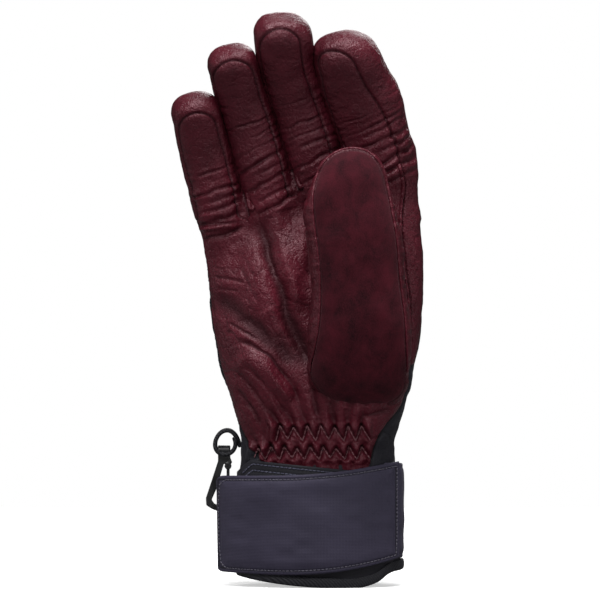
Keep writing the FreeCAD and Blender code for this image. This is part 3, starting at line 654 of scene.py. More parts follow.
def gather_relief(p, row, reach, uneven):
    """Pleats that run up from a zigzag row and die out over a reach, and lobes between its teeth."""
    x, _, z = p.T
    low, high, start, pitch = row["valley"], row["peak"], row["start"], row["pitch"]
    end = start + pitch * row["count"]
    lean = 0.55 * np.clip((8 - x) / 30, -0.2, 1) * np.maximum(z - high, 0)
    phase = (x + lean - start) / pitch * 2 * math.pi
    span = smooth(start - 9, start - 3, x) * (1 - smooth(end - 5, end + 1, x))
    above = np.exp(-np.maximum(z - high, 0) / reach) * (z > low - 3) * smooth(low - 2, high, z)
    distance, _, _ = line_distance(p[:, [0, 2]], zigzag(row))
    band = smooth(low - 3, low, z) * (1 - smooth(high, high + 3, z))
    below = smooth(low - 9, low - 4, z) * (1 - smooth(low - 2, low, z))
    pleats = -2.1 * uneven * np.cos(phase) * above
    lobes = (1.3 - 2.7 * bell(distance, 1.0)) * (0.6 + 0.4 * uneven) * band
    return (pleats + lobes + 0.9 * uneven * np.cos(phase + 0.8) * below) * span


def palm_relief(p, facing):
    """Height of the palm's folds, wrinkles and gathers above the plain shape."""
    flat = wander(p, 9.0, 0.9, 11)[:, [0, 2]]
    height = np.zeros(len(p))
    for n, (points, amount, half) in enumerate(PALM_FOLDS):
        distance, along, _ = line_distance(flat, polyline(points, 2))
        ends = smooth(0, 0.18, along) * (1 - smooth(0.80, 1.0, along))
        strength = 0.8 + 0.2 * noise(p, 7.0, 40 + n)
        height += amount * strength * ends * bell(distance, half)
    # a net of fine wrinkles, drawn out along the hand
    x, y, z = p.T
    drawn = np.stack([x + 0.4 * z, y, z], 1)
    for size, depth, seed in WRINKLES:
        net = noise(wander(drawn, 6.0, 0.8, seed + 10), size, seed)
        height -= depth * bell(net, 0.10) * (0.6 + 0.4 * noise(p, 15.0, seed + 20))
    uneven = 0.75 + 0.55 * noise(p, (6.0, 6.0, 14.0), 97)
    height += gather_relief(p, ROW_TOP, 13.0, uneven) + gather_relief(p, ROW_LOW, 3.0, uneven)
    return height * facing * smooth(52, 58, z)


def crease_relief(p, nearest):
    """Depth of the creases on the palm side of the fingers, and of the soft ones on their backs."""
    height = np.zeros(len(p))
    for n, finger in enumerate(NAMES):
        mine = nearest == n
        f = FINGERS[finger]
        half = float(finger_station(finger, f["lengths"][0], 2))
        q = wander(p[mine], 5.0, 0.7, 60 + n)
        s, u, v = finger_coordinates(q, finger)
        front = 1 - smooth(-0.45, 0.15, v / half)
        total = np.zeros(len(q))
        for place, depth, width, slope, low, high in CREASES[finger]:
            away = s - place - slope * u
            cover = smooth(low - 0.25, low + 0.25, u / half) * (1 - smooth(high - 0.2, high + 0.25, u / half))
            groove = bell(away, width)
            lip = bell(np.abs(away) - width * 2.1, width * 1.3)
            uneven = 0.8 + 0.5 * noise(np.stack([u, s * 0 + place, v], 1), 4.5, 130 + n)
            total += depth * uneven * cover * (0.42 * lip - groove)
        # short puckers that run in from the seams
        stretched = np.stack([u * 0.35, v * 0.35, s], 1)
        rib = noise(stretched, (3.0, 3.0, 1.7), 90 + n)
        edge = bell(np.abs(u / half) - 0.75, 0.35)
        length = finger_length(finger)
        total += 0.34 * rib * edge * smooth(-8, 2, s) * (1 - smooth(length - 18, length - 6, s))
        # soft folds over the knuckle, and the seam round the panel on the back
        behind = smooth(0.2, 0.6, v / half)
        bend = bell(s - f["lengths"][0], 7) * (1 - smooth(0.5, 0.75, np.abs(u / half)))
        total = total * front - 0.45 * behind * bend * (0.5 + 0.5 * np.cos(s / 3.6 * 2 * math.pi))
        seam = back_seam_distance(s, u, v, finger)
        total += seam_relief(seam, 0.7, 0.6, 0.25) * smooth(-6, 4, s)
        height[mine] = total
    return height


def seam_relief(distance, depth, half, puff=0.35):
    """A groove along a seam, and the wider dip where the seam draws the padding in on both sides of it."""
    away = np.abs(distance)
    return -depth * bell(away, half) - puff * bell(away, half * 4)


# ---------------------------------------------------------------- pieces cut from a skin


def read_faces(obj):
    """Corner indices of a mesh of four-sided faces."""
    corners = np.empty(len(obj.data.loops), np.int32)
    obj.data.loops.foreach_get("vertex_index", corners)
    return corners.reshape(-1, 4)


def add_attribute(obj, name, kind, values):
    """Stores a value or a vector at each vertex."""
    attribute = obj.data.attributes.new(name, kind, "POINT")
    attribute.data.foreach_set("vector" if kind == "FLOAT_VECTOR" else "value",
                               np.asarray(values, np.float32).ravel())


def rim_edges(faces):
    """Edges that only one face uses, in that face's direction."""
    edges = np.stack([faces, np.roll(faces, -1, 1)], 2).reshape(-1, 2)
    key = np.sort(edges, 1)
    _, first, count = np.unique(key, axis=0, return_index=True, return_counts=True)
    return edges[first[count == 1]]


def shell_object(name, outer, inner, faces):
    """A closed shell: an outer face, an inner one, and the rim between them."""
    count = len(outer)
    rim = rim_edges(faces)
    walls = np.stack([rim[:, 1], rim[:, 0], rim[:, 0] + count, rim[:, 1] + count], 1)
    return make_object(name, np.vstack([outer, inner]), np.vstack([faces, faces[:, ::-1] + count, walls]))


def cut_piece(name, skin, mask, thickness=PANEL_THICKNESS):
    """One panel of a skin as a closed shell, with the place at rest and the painted shade of its points
    (darker in its folds, creases and seams).
    """
    used, faces = np.unique(skin["faces"][mask], return_inverse=True)
    outer, normal, rest = skin["shape"][used], skin["normal"][used], skin["rest"][used]
    obj = shell_object(name, outer, outer - normal * thickness, faces.reshape(-1, 4))
    add_attribute(obj, "rest", "FLOAT_VECTOR", np.vstack([rest, rest]))
    add_attribute(obj, "painted_shade", "FLOAT", np.concatenate([skin["painted_shade"][used], np.zeros(len(used))]))
    obj.data.normals_split_custom_set_from_vertices(np.vstack([normal, -normal]).tolist())
    return obj


def snap(p, distance, reach, rounds=2):
    """Moves the points that lie near a seam onto it, so that the cut along it is clean."""
    value = distance(p)
    near = np.abs(value) < reach
    q = p[near]
    for _ in range(rounds):
        slope = gradient(distance, q, 0.2)
        size = (slope ** 2).sum(1)
        step = distance(q) / np.maximum(size, 0.3)
        q = q - np.clip(step, -reach, reach)[:, None] * slope
    p[near] = q
    return p


def settled_normals(shape, faces):
    """Area-weighted vertex normals."""
    a, b, c, d = (shape[faces[:, n]] for n in range(4))
    across = np.cross(c - a, d - b)
    total = np.zeros_like(shape)
    for n in range(4):
        for axis in range(3):
            total[:, axis] += np.bincount(faces[:, n], across[:, axis], len(shape))
    return total / np.maximum(np.linalg.norm(total, axis=1, keepdims=True), 1e-12)


def drawn_skin(name, field, low, high):
    """A field's mesh, refined: points, unit normals and faces."""
    points, faces = field_mesh(field, low, high, GRID)
    draft = make_object(name, points, faces)
    refine(draft)
    p, normal = read_mesh(draft)
    faces = read_faces(draft)
    bpy.data.objects.remove(draft)
    return p, normal, faces


HAND_BOX = ((-80, -34, 50), (60, 32, 236))


def finger_box(finger):
    """A box round a finger, on the hand's own grid so that the two meshes meet."""
    f = FINGERS[finger]
    lean = math.radians(f["lean"])
    length = finger_length(finger) + 20
    far = f["base"][0] - length * math.sin(lean)
    low = np.array([min(far, f["base"][0]) - 20, HAND_BOX[0][1] - 12 * GRID, f["base"][1] - 12])
    high = np.array([f["base"][0] + 22, HAND_BOX[1][1], f["base"][1] + length])
    start = np.array(HAND_BOX[0], float)
    return start + np.floor((low - start) / GRID) * GRID, high


def build_skin(owner=None):
    """The hand's skin, or that of one finger, with its seams, folds and creases."""
    if owner is None:
        p, normal, faces = drawn_skin("hand_draft", glove_field, *HAND_BOX)
    else:
        p, normal, faces = drawn_skin(owner + "_draft", lambda q: joined_field(q, owner), *finger_box(owner))
    p = snap(p, lambda q: panel_distance(q, owner), SPACING * 0.5)
    nearest, s, _, _ = skin_coordinates(p, owner)
    seam = panel_distance(p, owner)
    border = border_distance(p)
    facing = smooth(0.05, 0.5, -normal[:, 1])
    folds = palm_relief(p, facing) * (1 - smooth(4, 14, s))
    creases = crease_relief(p, nearest) * smooth(-7, 0, s)
    outside = seam > 0
    cloth = outside & (border < 0)
    seams = seam_relief(seam, 0.95, 0.5) + seam_relief(border, 0.5, 0.6, 0.2) * outside
    gusset = seam_relief(p[:, 1] + 1, 0.6, 0.6, 0.2) * cloth
    ripple = 0.5 * noise(wander(p, 12, 3, 5), (9.0, 9.0, 5.0), 21) * cloth
    lumps = 0.30 * noise(p, 13.0, 31) + 0.20 * noise(p, 6.0, 32)
    fine = 0.10 * noise(wander(p, 3, 0.8, 34), (2.6, 2.6, 2.0), 33)
    relief = folds + creases + seams + gusset + ripple + lumps + fine
    shape = p + normal * relief[:, None]
    # painted shade, stored for the materials: darker in the folds and creases and along the seams
    painted_shade_amount = np.clip(-(folds + creases) * 0.5, 0, 1) + 0.9 * bell(seam, 0.5)
    # painted shade on the pads of the fingers
    painted_shade_amount += PAD_SHADE * smooth(14, 34, s) * (seam < 0)
    return dict(shape=shape, rest=p, faces=faces, normal=settled_normals(shape, faces),
                painted_shade=np.clip(painted_shade_amount, 0, 1), nearest=nearest, s=s, seam=seam, border=border)


def cut_hand(skin):
    """The panels of the hand, by name."""
    faces = skin["faces"]
    on_hand = skin["s"][faces].mean(1) < STARTS[skin["nearest"][faces][:, 0]]
    front = skin["seam"][faces].mean(1) < 0
    leather = skin["border"][faces].mean(1) > 0
    palm_side = skin["rest"][faces][:, :, 1].mean(1) < -1
    left = skin["rest"][faces][:, :, 0].mean(1) < 0
    masks = {
        "palm_leather": front,
        "knuckle_leather": ~front & leather,
        "back_softshell": ~front & ~leather & ~palm_side,
        "side_gusset_left": ~front & ~leather & palm_side & left,
        "side_gusset_right": ~front & ~leather & palm_side & ~left,
    }
    return {name: cut_piece(name + "_skin", skin, on_hand & mask) for name, mask in masks.items()}


def cut_finger(skin, finger):
    """A finger's palm-side panel, and the leather of its sides, back and end."""
    faces = skin["faces"]
    beyond = skin["s"][faces].mean(1) > PANEL_START[finger]
    front = skin["seam"][faces].mean(1) < 0
    return (cut_piece(finger + "_panel_skin", skin, beyond & front),
            cut_piece(finger + "_outer_skin", skin, beyond & ~front))


def thumb_seam(p):
    """Signed distance from the suede patch's edge: negative on the suede."""
    distance = inside_distance(p[:, [0, 2]], THUMB_LINE)
    _, middle = thumb_depths(p[:, 2])
    return np.where(p[:, 1] < middle - 2, distance, np.maximum(distance, 5))


def build_thumb_skin():
    """The thumb's skin, with its seam, lumps and wrinkles."""
    p, normal, faces = drawn_skin("thumb_draft", thumb_field, (-18, -54, 74), (54, 2, 224))
    p = snap(p, thumb_seam, SPACING * 0.5)
    seam = thumb_seam(p)
    suede = seam < 0
    lumps = 0.5 * noise(p, 16.0, 51) + 0.25 * noise(p, 7.0, 52)
    wrinkle = noise(wander(p, 8, 2, 53), (9.0, 9.0, 2.6), 54) * 0.4 * ~suede
    relief = seam_relief(seam, 0.8, 0.55, 0.3) + lumps + wrinkle
    shape = p + normal * relief[:, None]
    # painted shade: the suede and its leather darkened along the patch's seam
    return dict(shape=shape, rest=p, faces=faces, normal=settled_normals(shape, faces),
                painted_shade=0.8 * bell(seam, 0.7), seam=seam)


def cut_thumb(skin):
    """The suede patch and the leather round it, by name."""
    suede = skin["seam"][skin["faces"]].mean(1) < 0
    return {"thumb_suede": cut_piece("thumb_suede_skin", skin, suede, 1.2),
            "thumb_leather": cut_piece("thumb_leather_skin", skin, ~suede)}


# ---------------------------------------------------------------- tubes, stitches and sheets


def frames_along(points):
    """Directions along a line and two directions across it that don't twist."""
    ahead = np.gradient(points, axis=0)
    ahead /= np.linalg.norm(ahead, axis=1, keepdims=True)
    first = np.cross(ahead[0], (0.3, 0.9, 0.2))
    sides = [first / np.linalg.norm(first)]
    for d in ahead[1:]:
        side = sides[-1] - d * (sides[-1] @ d)
        sides.append(side / np.linalg.norm(side))
    sides = np.array(sides)
    return ahead, sides, np.cross(ahead, sides)


def grid_faces(rows, columns, wrap_rows=False, wrap_columns=False):
    """Quads between the points of a grid stored row by row."""
    i = np.arange(rows if wrap_rows else rows - 1)
    j = np.arange(columns if wrap_columns else columns - 1)
    i, j = (a.ravel() for a in np.meshgrid(i, j, indexing="ij"))
    ni, nj = (i + 1) % rows, (j + 1) % columns
    return np.stack([i * columns + j, ni * columns + j, ni * columns + nj, i * columns + nj], 1)


def tube_mesh(points, radius, sides=10):
    """Vertices and faces of a tube with round ends along a line."""
    points = np.asarray(points, float)
    radius = np.broadcast_to(radius, len(points))
    ahead, across, over = frames_along(points)
    dome = np.array([[0.98], [0.75], [0.4]])
    cap = np.sqrt(1 - dome[:, 0] ** 2)
    rings = np.vstack([points[0] - ahead[0] * radius[0] * dome, points,
                       points[-1] + ahead[-1] * radius[-1] * dome[::-1]])
    reach = np.concatenate([radius[0] * cap, radius, radius[-1] * cap[::-1]])
    across, over = (np.vstack([way[:1]] * 3 + [way] + [way[-1:]] * 3)[:, None, :] for way in (across, over))
    angle = (np.arange(sides) / sides * 2 * math.pi)[None, :, None]
    ring = np.cos(angle) * across + np.sin(angle) * over
    vertices = (rings[:, None, :] + reach[:, None, None] * ring).reshape(-1, 3)
    faces = list(grid_faces(len(rings), sides, wrap_columns=True)[:, ::-1])
    faces.append(np.arange(sides))
    faces.append(np.arange(sides)[::-1] + (len(rings) - 1) * sides)
    return vertices, faces


def join_meshes(parts):
    """One list of vertices and faces from several."""
    vertices, faces, start = [], [], 0
    for v, f in parts:
        vertices.append(v)
        faces.extend([np.asarray(face) + start for face in f])
        start += len(v)
    return np.vstack(vertices), faces


def walk(points, spacing):
    """Points at equal spacing along a line."""
    points = np.asarray(points, float)
    length = lengths_along(points)[-1]
    count = max(2, int(round(length / spacing)) + 1)
    return np.stack(along_line(points, np.linspace(0, length, count)), 1)


def stitch_parts(line, length, gap, radius):
    """Stitches along a line on the front of a cloth: each one dives into it at both ends."""
    line = walk(line, (length + gap) / 4)
    t = np.linspace(0, 1, 6)
    arch = np.sin(t * math.pi) * 1.6 - 0.7
    parts = []
    for start in range(0, len(line) - 4, 4):
        a, b = line[start], line[start + 3]
        path = a + (b - a) * t[:, None]
        path[:, 1] -= (arch + 0.3) * radius
        parts.append(tube_mesh(path, radius * np.array([0.75, 1, 1, 1, 1, 0.75]), 8))
    return parts


def surface_tree(*objects):
    """A tree for rays against the given meshes, in millimetres."""
    vertices, faces, start = [], [], 0
    for obj in objects:
        co, _ = read_mesh(obj)
        vertices.append(co)
        faces.extend([tuple(n + start for n in f.vertices) for f in obj.data.polygons])
        start += len(co)
    return BVHTree.FromPolygons([tuple(v) for v in np.vstack(vertices)], faces)


def lay_on(tree, flat, lift=0.0):
    """Drops (x, z) points onto a surface along +Y."""
    points = []
    for x, z in flat:
        hit = tree.ray_cast(Vector((x, -200, z)), Vector((0, 1, 0)))[0]
        if hit is not None:
            points.append((x, hit.y - lift, z))
    return np.array(points)


def sheet_object(name, place, rows, columns, thickness, ring=False):
    """A sheet with thickness from a function of (a, b), both 0..1. In a ring, a is the angle round it."""
    a = np.arange(rows) / rows * 2 * math.pi if ring else np.linspace(0, 1, rows)
    a, b = (part.ravel() for part in np.meshgrid(a, np.linspace(0, 1, columns), indexing="ij"))
    outer = place(a, b)
    faces = grid_faces(rows, columns, wrap_rows=ring)
    normal = settled_normals(outer, faces)
    edge = np.minimum(np.minimum(a, 1 - a) * rows, np.minimum(b, 1 - b) * columns)
    pinch = np.zeros(len(outer)) if ring else 0.3 * thickness * (edge < 0.5)  # thins the edges
    outer = outer - normal * pinch[:, None]
    inner = outer - normal * (thickness - 2 * pinch)[:, None]
    obj = shell_object(name, outer, inner, faces)
    refine(obj)
    return obj


def keep_rest(obj):
    """Stores each point's place at rest, in millimetres, for the materials, unless its skin already did."""
    if "rest" not in obj.data.attributes:
        add_attribute(obj, "rest", "FLOAT_VECTOR", read_mesh(obj)[0])


# ---------------------------------------------------------------- materials


class Shader:
    """A small helper round one material's nodes. Patterns are drawn in millimetres at rest."""

    def __init__(self, name, roughness=0.5, specular=0.5, tint=(1.0, 1.0, 1.0)):
        self.material = bpy.data.materials.new(name)
        self.material.use_nodes = True
        self.nodes, self.links = self.material.node_tree.nodes, self.material.node_tree.links
        self.surface = self.nodes["Principled BSDF"]
        self.surface.inputs["Roughness"].default_value = roughness
        self.surface.inputs["Specular IOR Level"].default_value = specular
        self.surface.inputs["Specular Tint"].default_value = (*tint, 1.0)
        rest = self.nodes.new("ShaderNodeAttribute")
        rest.attribute_name = "rest"
        self.rest = rest.outputs["Vector"]
        self.height = None

    def link(self, source, target):
        if hasattr(source, "default_value") and hasattr(source, "links"):
            self.links.new(source, target)
        else:
            target.default_value = source

    def texture(self, kind, size, **settings):
        """A texture node with some of its inputs set. Its pattern has a size, which may differ by axis."""
        scaled = self.nodes.new("ShaderNodeVectorMath")
        scaled.operation = "MULTIPLY"
        self.link(self.rest, scaled.inputs[0])
        sizes = size if isinstance(size, tuple) else (size,) * 3
        scaled.inputs[1].default_value = tuple(1 / n for n in sizes)
        node = self.nodes.new("ShaderNodeTex" + kind)
        self.link(scaled.outputs[0], node.inputs["Vector"])
        for name, value in settings.items():
            node.inputs[name].default_value = value
        return node

    def noise(self, size, detail=3.0, rough=0.5, distortion=0.0):
        node = self.texture("Noise", size, Scale=1.0, Detail=detail, Roughness=rough, Distortion=distortion)
        return node.outputs["Fac"]

    def cells(self, size, feature="F1"):
        node = self.texture("Voronoi", size, Scale=1.0)
        node.feature = feature
        return node.outputs["Distance"]

    def waves(self, size, direction, distortion=0.0):
        node = self.texture("Wave", size, Scale=0.314, Distortion=distortion)
        node.wave_type, node.bands_direction, node.wave_profile = "BANDS", direction, "SIN"
        return node.outputs["Fac"]

    def math(self, operation, a, b):
        node = self.nodes.new("ShaderNodeMath")
        node.operation = operation
        self.link(a, node.inputs[0])
        self.link(b, node.inputs[1])
        return node.outputs[0]

    def ramp(self, value, low, high, out_low=0.0, out_high=1.0):
        node = self.nodes.new("ShaderNodeMapRange")
        self.link(value, node.inputs["Value"])
        limits = {"From Min": low, "From Max": high, "To Min": out_low, "To Max": out_high}
        for name, limit in limits.items():
            node.inputs[name].default_value = limit
        return node.outputs["Result"]

    def mix(self, share, a, b):
        node = self.nodes.new("ShaderNodeMix")
        node.data_type = "RGBA"
        self.link(share, node.inputs["Factor"])
        for value, target in ((a, node.inputs[6]), (b, node.inputs[7])):
            if isinstance(value, tuple):
                target.default_value = (*value, 1.0)
            else:
                self.link(value, target)
        return node.outputs[2]

    def attribute(self, name):
        node = self.nodes.new("ShaderNodeAttribute")
        node.attribute_name = name
        return node.outputs["Fac"]

    def colour(self, source):
        if isinstance(source, tuple):
            self.surface.inputs["Base Color"].default_value = (*source, 1.0)
        else:
            self.link(source, self.surface.inputs["Base Color"])

    def roughness(self, source):
        self.link(source, self.surface.inputs["Roughness"])

    def bump(self, height, depth_mm, strength=1.0):
        node = self.nodes.new("ShaderNodeBump")
        node.inputs["Strength"].default_value = strength
        node.inputs["Distance"].default_value = depth_mm * MM
        self.link(height, node.inputs["Height"])
        if self.height is not None:
            self.links.new(self.height, node.inputs["Normal"])
        self.height = node.outputs["Normal"]
        self.links.new(self.height, self.surface.inputs["Normal"])

    def sheen(self, weight, roughness, tint):
        self.surface.inputs["Sheen Weight"].default_value = weight
        self.surface.inputs["Sheen Roughness"].default_value = roughness
        self.surface.inputs["Sheen Tint"].default_value = (*tint, 1.0)


def darker(colour, share):
    return tuple(part * share for part in colour)


def leather_material(name, dark, light, roughness=0.38):
    """Drummed goat leather: pebbled grain with fine creases, and painted shade that darkens its folds,
    creases, seams and pads.
    """
    m = Shader(name, roughness, 0.36, (1.0, 0.66, 0.72))
    painted_shade = m.attribute("painted_shade")
    cloud = m.noise(16.0, 4.0, 0.6)
    base = m.mix(m.ramp(cloud, 0.32, 0.68), dark, light)
    pores = m.cells(0.9)
    base = m.mix(m.ramp(pores, 0.45, 0.95, 0, 0.30), base, darker(dark, 0.45))
    # painted shade: darker in the folds, creases and seams, and on the finger pads
    m.colour(m.mix(m.ramp(painted_shade, 0.1, 1.0, 0, 0.78), base, darker(dark, 0.28)))
    worn = m.ramp(m.noise(7.0, 3.0), 0.3, 0.7, roughness - 0.06, roughness + 0.08)
    m.roughness(m.math("ADD", worn, m.ramp(painted_shade, 0, 1, 0, 0.15)))
    m.bump(m.ramp(m.noise(5.5, 5.0, 0.62, 0.6), 0.3, 0.7), 0.6, 0.6)
    m.bump(m.ramp(m.cells((2.6, 2.6, 3.4), "DISTANCE_TO_EDGE"), 0.0, 0.16), 0.16, 0.55)
    m.bump(m.noise((1.0, 1.0, 2.6), 3.0, 0.6, 0.4), 0.30, 0.6)
    m.bump(m.math("SUBTRACT", 1.0, pores), 0.20, 0.7)
    m.bump(m.noise(0.35, 2.0), 0.04, 0.4)
    return m.material


def suede_material():
    """Brushed suede: dull, with a soft nap that lies lighter and darker in patches."""
    m = Shader("suede", 0.92, 0.18)
    patches = m.noise((9.0, 9.0, 13.0), 5.0, 0.62, 0.4)
    base = m.mix(m.ramp(patches, 0.33, 0.70), (0.013, 0.0007, 0.0026), (0.068, 0.0056, 0.0124))
    nap = m.noise((0.5, 0.5, 0.8), 3.0, 0.7)
    base = m.mix(m.ramp(nap, 0.38, 0.72, 0, 0.46), base, (0.080, 0.0096, 0.0190))
    # painted shade: darker along the patch's seam
    m.colour(m.mix(m.ramp(m.attribute("painted_shade"), 0.2, 1, 0, 0.8), base, (0.012, 0.002, 0.004)))
    m.bump(nap, 0.22, 0.8)
    m.bump(patches, 0.6, 0.35)
    m.sheen(0.12, 0.5, (0.62, 0.25, 0.30))
    return m.material


def weave_material(name, dark, light, pitch, roughness=0.66, sheen=0.06):
    """Tightly woven nylon: a fine plain weave with a slight sheen."""
    m = Shader(name, roughness, 0.3)
    cloud = m.noise(24.0, 3.0)
    up, over = m.waves(pitch, "Z", 0.25), m.waves(pitch, "X", 0.25)
    weave = m.math("MAXIMUM", up, over)
    base = m.mix(m.ramp(cloud, 0.3, 0.7), dark, light)
    base = m.mix(m.ramp(weave, 0.3, 1.0, 0.30, 0), base, darker(dark, 0.5))
    # painted shade: darker along the seams, creases and stitch grooves stored in the mesh
    m.colour(m.mix(m.ramp(m.attribute("painted_shade"), 0.1, 1.0, 0, 0.85), base, darker(dark, 0.12)))
    m.roughness(m.ramp(cloud, 0.3, 0.7, roughness - 0.05, roughness + 0.05))
    m.bump(m.noise((14.0, 14.0, 9.0), 3.0, 0.5, 0.5), 0.5, 0.35)
    m.bump(weave, 0.10, 0.6)
    m.sheen(sheen, 0.4, (0.75, 0.72, 0.85))
    return m.material


def fleece_material(name, dark, light, size):
    """Soft tufts, for wadding and linings."""
    m = Shader(name, 0.95, 0.15)
    tufts = m.noise(size, 4.0, 0.65, 0.8)
    m.colour(m.mix(m.ramp(tufts, 0.3, 0.7), dark, light))
    m.bump(tufts, size * 0.5, 0.9)
    m.sheen(0.5, 0.5, (0.8, 0.8, 0.8))
    return m.material


def tape_material(name, dark, light, pitch):
    """Woven tape with slanting ribs."""
    m = Shader(name, 0.6, 0.4)
    rib = m.waves(pitch, "DIAGONAL", 0.3)
    m.colour(m.mix(m.ramp(rib, 0.2, 0.9), dark, light))
    m.bump(rib, 0.22, 0.8)
    m.bump(m.noise(0.4, 2.0), 0.06, 0.6)
    return m.material


def plastic_material():
    """Moulded black plastic, lightly scuffed."""
    m = Shader("hook_plastic", 0.38, 0.5)
    scuffs = m.noise((2.0, 2.0, 9.0), 4.0, 0.6)
    m.colour(m.mix(m.ramp(scuffs, 0.4, 0.75), (0.009, 0.009, 0.011), (0.020, 0.020, 0.023)))
    m.roughness(m.ramp(scuffs, 0.3, 0.75, 0.30, 0.46))
    m.bump(m.noise(0.7, 3.0), 0.03, 0.6)
    return m.material


def thread_material(name, dark, light):
    """Twisted sewing thread."""
    m = Shader(name, 0.42, 0.5)
    twist = m.waves(0.45, "DIAGONAL", 0.2)
    m.colour(m.mix(m.ramp(twist, 0.2, 0.9), dark, light))
    m.bump(twist, 0.08, 0.8)
    m.sheen(0.3, 0.3, (1.0, 0.8, 0.85))
    return m.material


def stud_material(name, dark, light, size):
    """The hook side of hook-and-loop tape: a mat of small studs."""
    m = Shader(name, 0.8, 0.3)
    dots = m.cells(size)
    m.colour(m.mix(m.ramp(dots, 0.1, 0.6), light, dark))
    m.bump(m.math("SUBTRACT", 1.0, dots), size * 0.4, 0.9)
    return m.material


LOOKS = {
    "leather": leather_material("burgundy_leather", (0.064, 0.0062, 0.0125), (0.104, 0.0115, 0.0215)),
    # the same leather painted about a sixth darker: painted shade for the knuckles, the sides, backs and ends
    # of the fingers, the thumb's leather and the crotch rolls
    "leather_painted_shade": leather_material("burgundy_leather_painted_shade", (0.054, 0.0052, 0.0105), (0.09, 0.01, 0.0185)),
    "suede": suede_material(),
    "softshell": weave_material("black_softshell", (0.0105, 0.0100, 0.0150), (0.0190, 0.0180, 0.0260), 0.9),
    "cuff": weave_material("black_cuff_cloth", (0.0100, 0.0095, 0.0140), (0.0170, 0.0160, 0.0230), 0.9),
    "strap": weave_material("violet_grey_strap_cloth", (0.038, 0.0325, 0.06), (0.052, 0.045, 0.08), 0.7),
    "binding": tape_material("hem_binding_tape", (0.010, 0.010, 0.014), (0.024, 0.023, 0.031), 0.9),
    "webbing": tape_material("black_webbing", (0.010, 0.010, 0.013), (0.030, 0.030, 0.037), 1.0),
    "insulation": fleece_material("white_wadding", (0.55, 0.55, 0.53), (0.75, 0.75, 0.73), 2.4),
    "lining": fleece_material("grey_lining", (0.035, 0.035, 0.040), (0.065, 0.065, 0.072), 0.9),
    "elastic": tape_material("elastic_band", (0.05, 0.02, 0.024), (0.10, 0.05, 0.055), 1.2),
    "plastic": plastic_material(),
    "zigzag_thread": thread_material("rose_thread", (0.12, 0.036, 0.046), (0.30, 0.125, 0.145)),
    "strap_thread": thread_material("violet_grey_thread", (0.055, 0.050, 0.075), (0.15, 0.14, 0.19)),
    "band_thread": thread_material("slate_thread", (0.045, 0.046, 0.080), (0.12, 0.12, 0.19)),
    "studs": stud_material("stud_tape", (0.006, 0.006, 0.008), (0.040, 0.039, 0.046), 1.6),
}


def dress(obj, look):
    """Gives a piece its material."""
    obj.data.materials.clear()
    obj.data.materials.append(LOOKS[look])
    keep_rest(obj)
    return obj


# ---------------------------------------------------------------- hand, fingers and thumb


FILL, BACK_FILL = 0.6, 0.5  # fills handed to finish with the pieces over the wadding


def attach(obj, part):
    """Rides on the hand; a finger's or the thumb's piece is only baked in place."""
    if part == "hand":
        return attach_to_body(obj, "hand")
    if part == "thumb":
        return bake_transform(obj)
    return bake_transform(obj)


def finish(obj, look, slot, part, *nodes, fill=None):
    """Dresses a piece of the hand, attaches it, and lets it stand for CAD nodes; its fill is not used."""
    attach(dress(obj, look), part)
    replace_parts(obj, *nodes)


hand_pieces = cut_hand(build_skin())
thumb_pieces = cut_thumb(build_thumb_skin())
finish(hand_pieces["palm_leather"], "leather", "leather", "hand", "palm_leather", "finger_web", fill=FILL)
finish(hand_pieces["back_softshell"], "softshell", "softshell", "hand", "back_softshell", fill=BACK_FILL)
finish(hand_pieces["knuckle_leather"], "leather_painted_shade", "leather", "hand", "knuckle_leather")
for name in ("side_gusset_left", "side_gusset_right"):
    finish(hand_pieces[name], "softshell", "softshell", "hand", name)
for finger in NAMES:
    panel, outer = cut_finger(build_skin(finger), finger)
    finish(panel, "leather", "leather", finger, finger + "_tip_pad", fill=FILL)
    finish(outer, "leather_painted_shade", "leather", finger, finger + "_base_leather", finger + "_tip_leather",
           fill=FILL)
finish(thumb_pieces["thumb_suede"], "suede", "suede", "thumb", "thumb_suede", fill=FILL)
finish(thumb_pieces["thumb_leather"], "leather_painted_shade", "leather", "thumb", "thumb_leather", fill=FILL)

front_tree = surface_tree(hand_pieces["palm_leather"], hand_pieces["side_gusset_left"],
                          hand_pieces["side_gusset_right"])
thumb_tree = surface_tree(*thumb_pieces.values())

# ---------------------------------------------------------------- wadding and lining inside

LAYER_STEP = 2.2
WADDING_DEPTH, LINING_DEPTH = 3.4, 6.2  # under the skin's plain shape
PALM_EXTRA = 2.2  # more, where the palm's folds reach in


def inner_field(depth):
    """The glove's field at a depth under its skin, closed below at the wrist."""
    def field(p):
        extra = PALM_EXTRA * (1 - smooth(178, 196, p[:, 2]))
        return np.maximum(glove_field(p) + depth + extra, 57 - p[:, 2])
    return field


def plain_skin(field, low, high):
    """A field's mesh as a skin without relief."""
    points, faces = field_mesh(field, low, high, LAYER_STEP)
    return dict(shape=points, rest=points, faces=faces, normal=settled_normals(points, faces),
                painted_shade=np.zeros(len(points)))


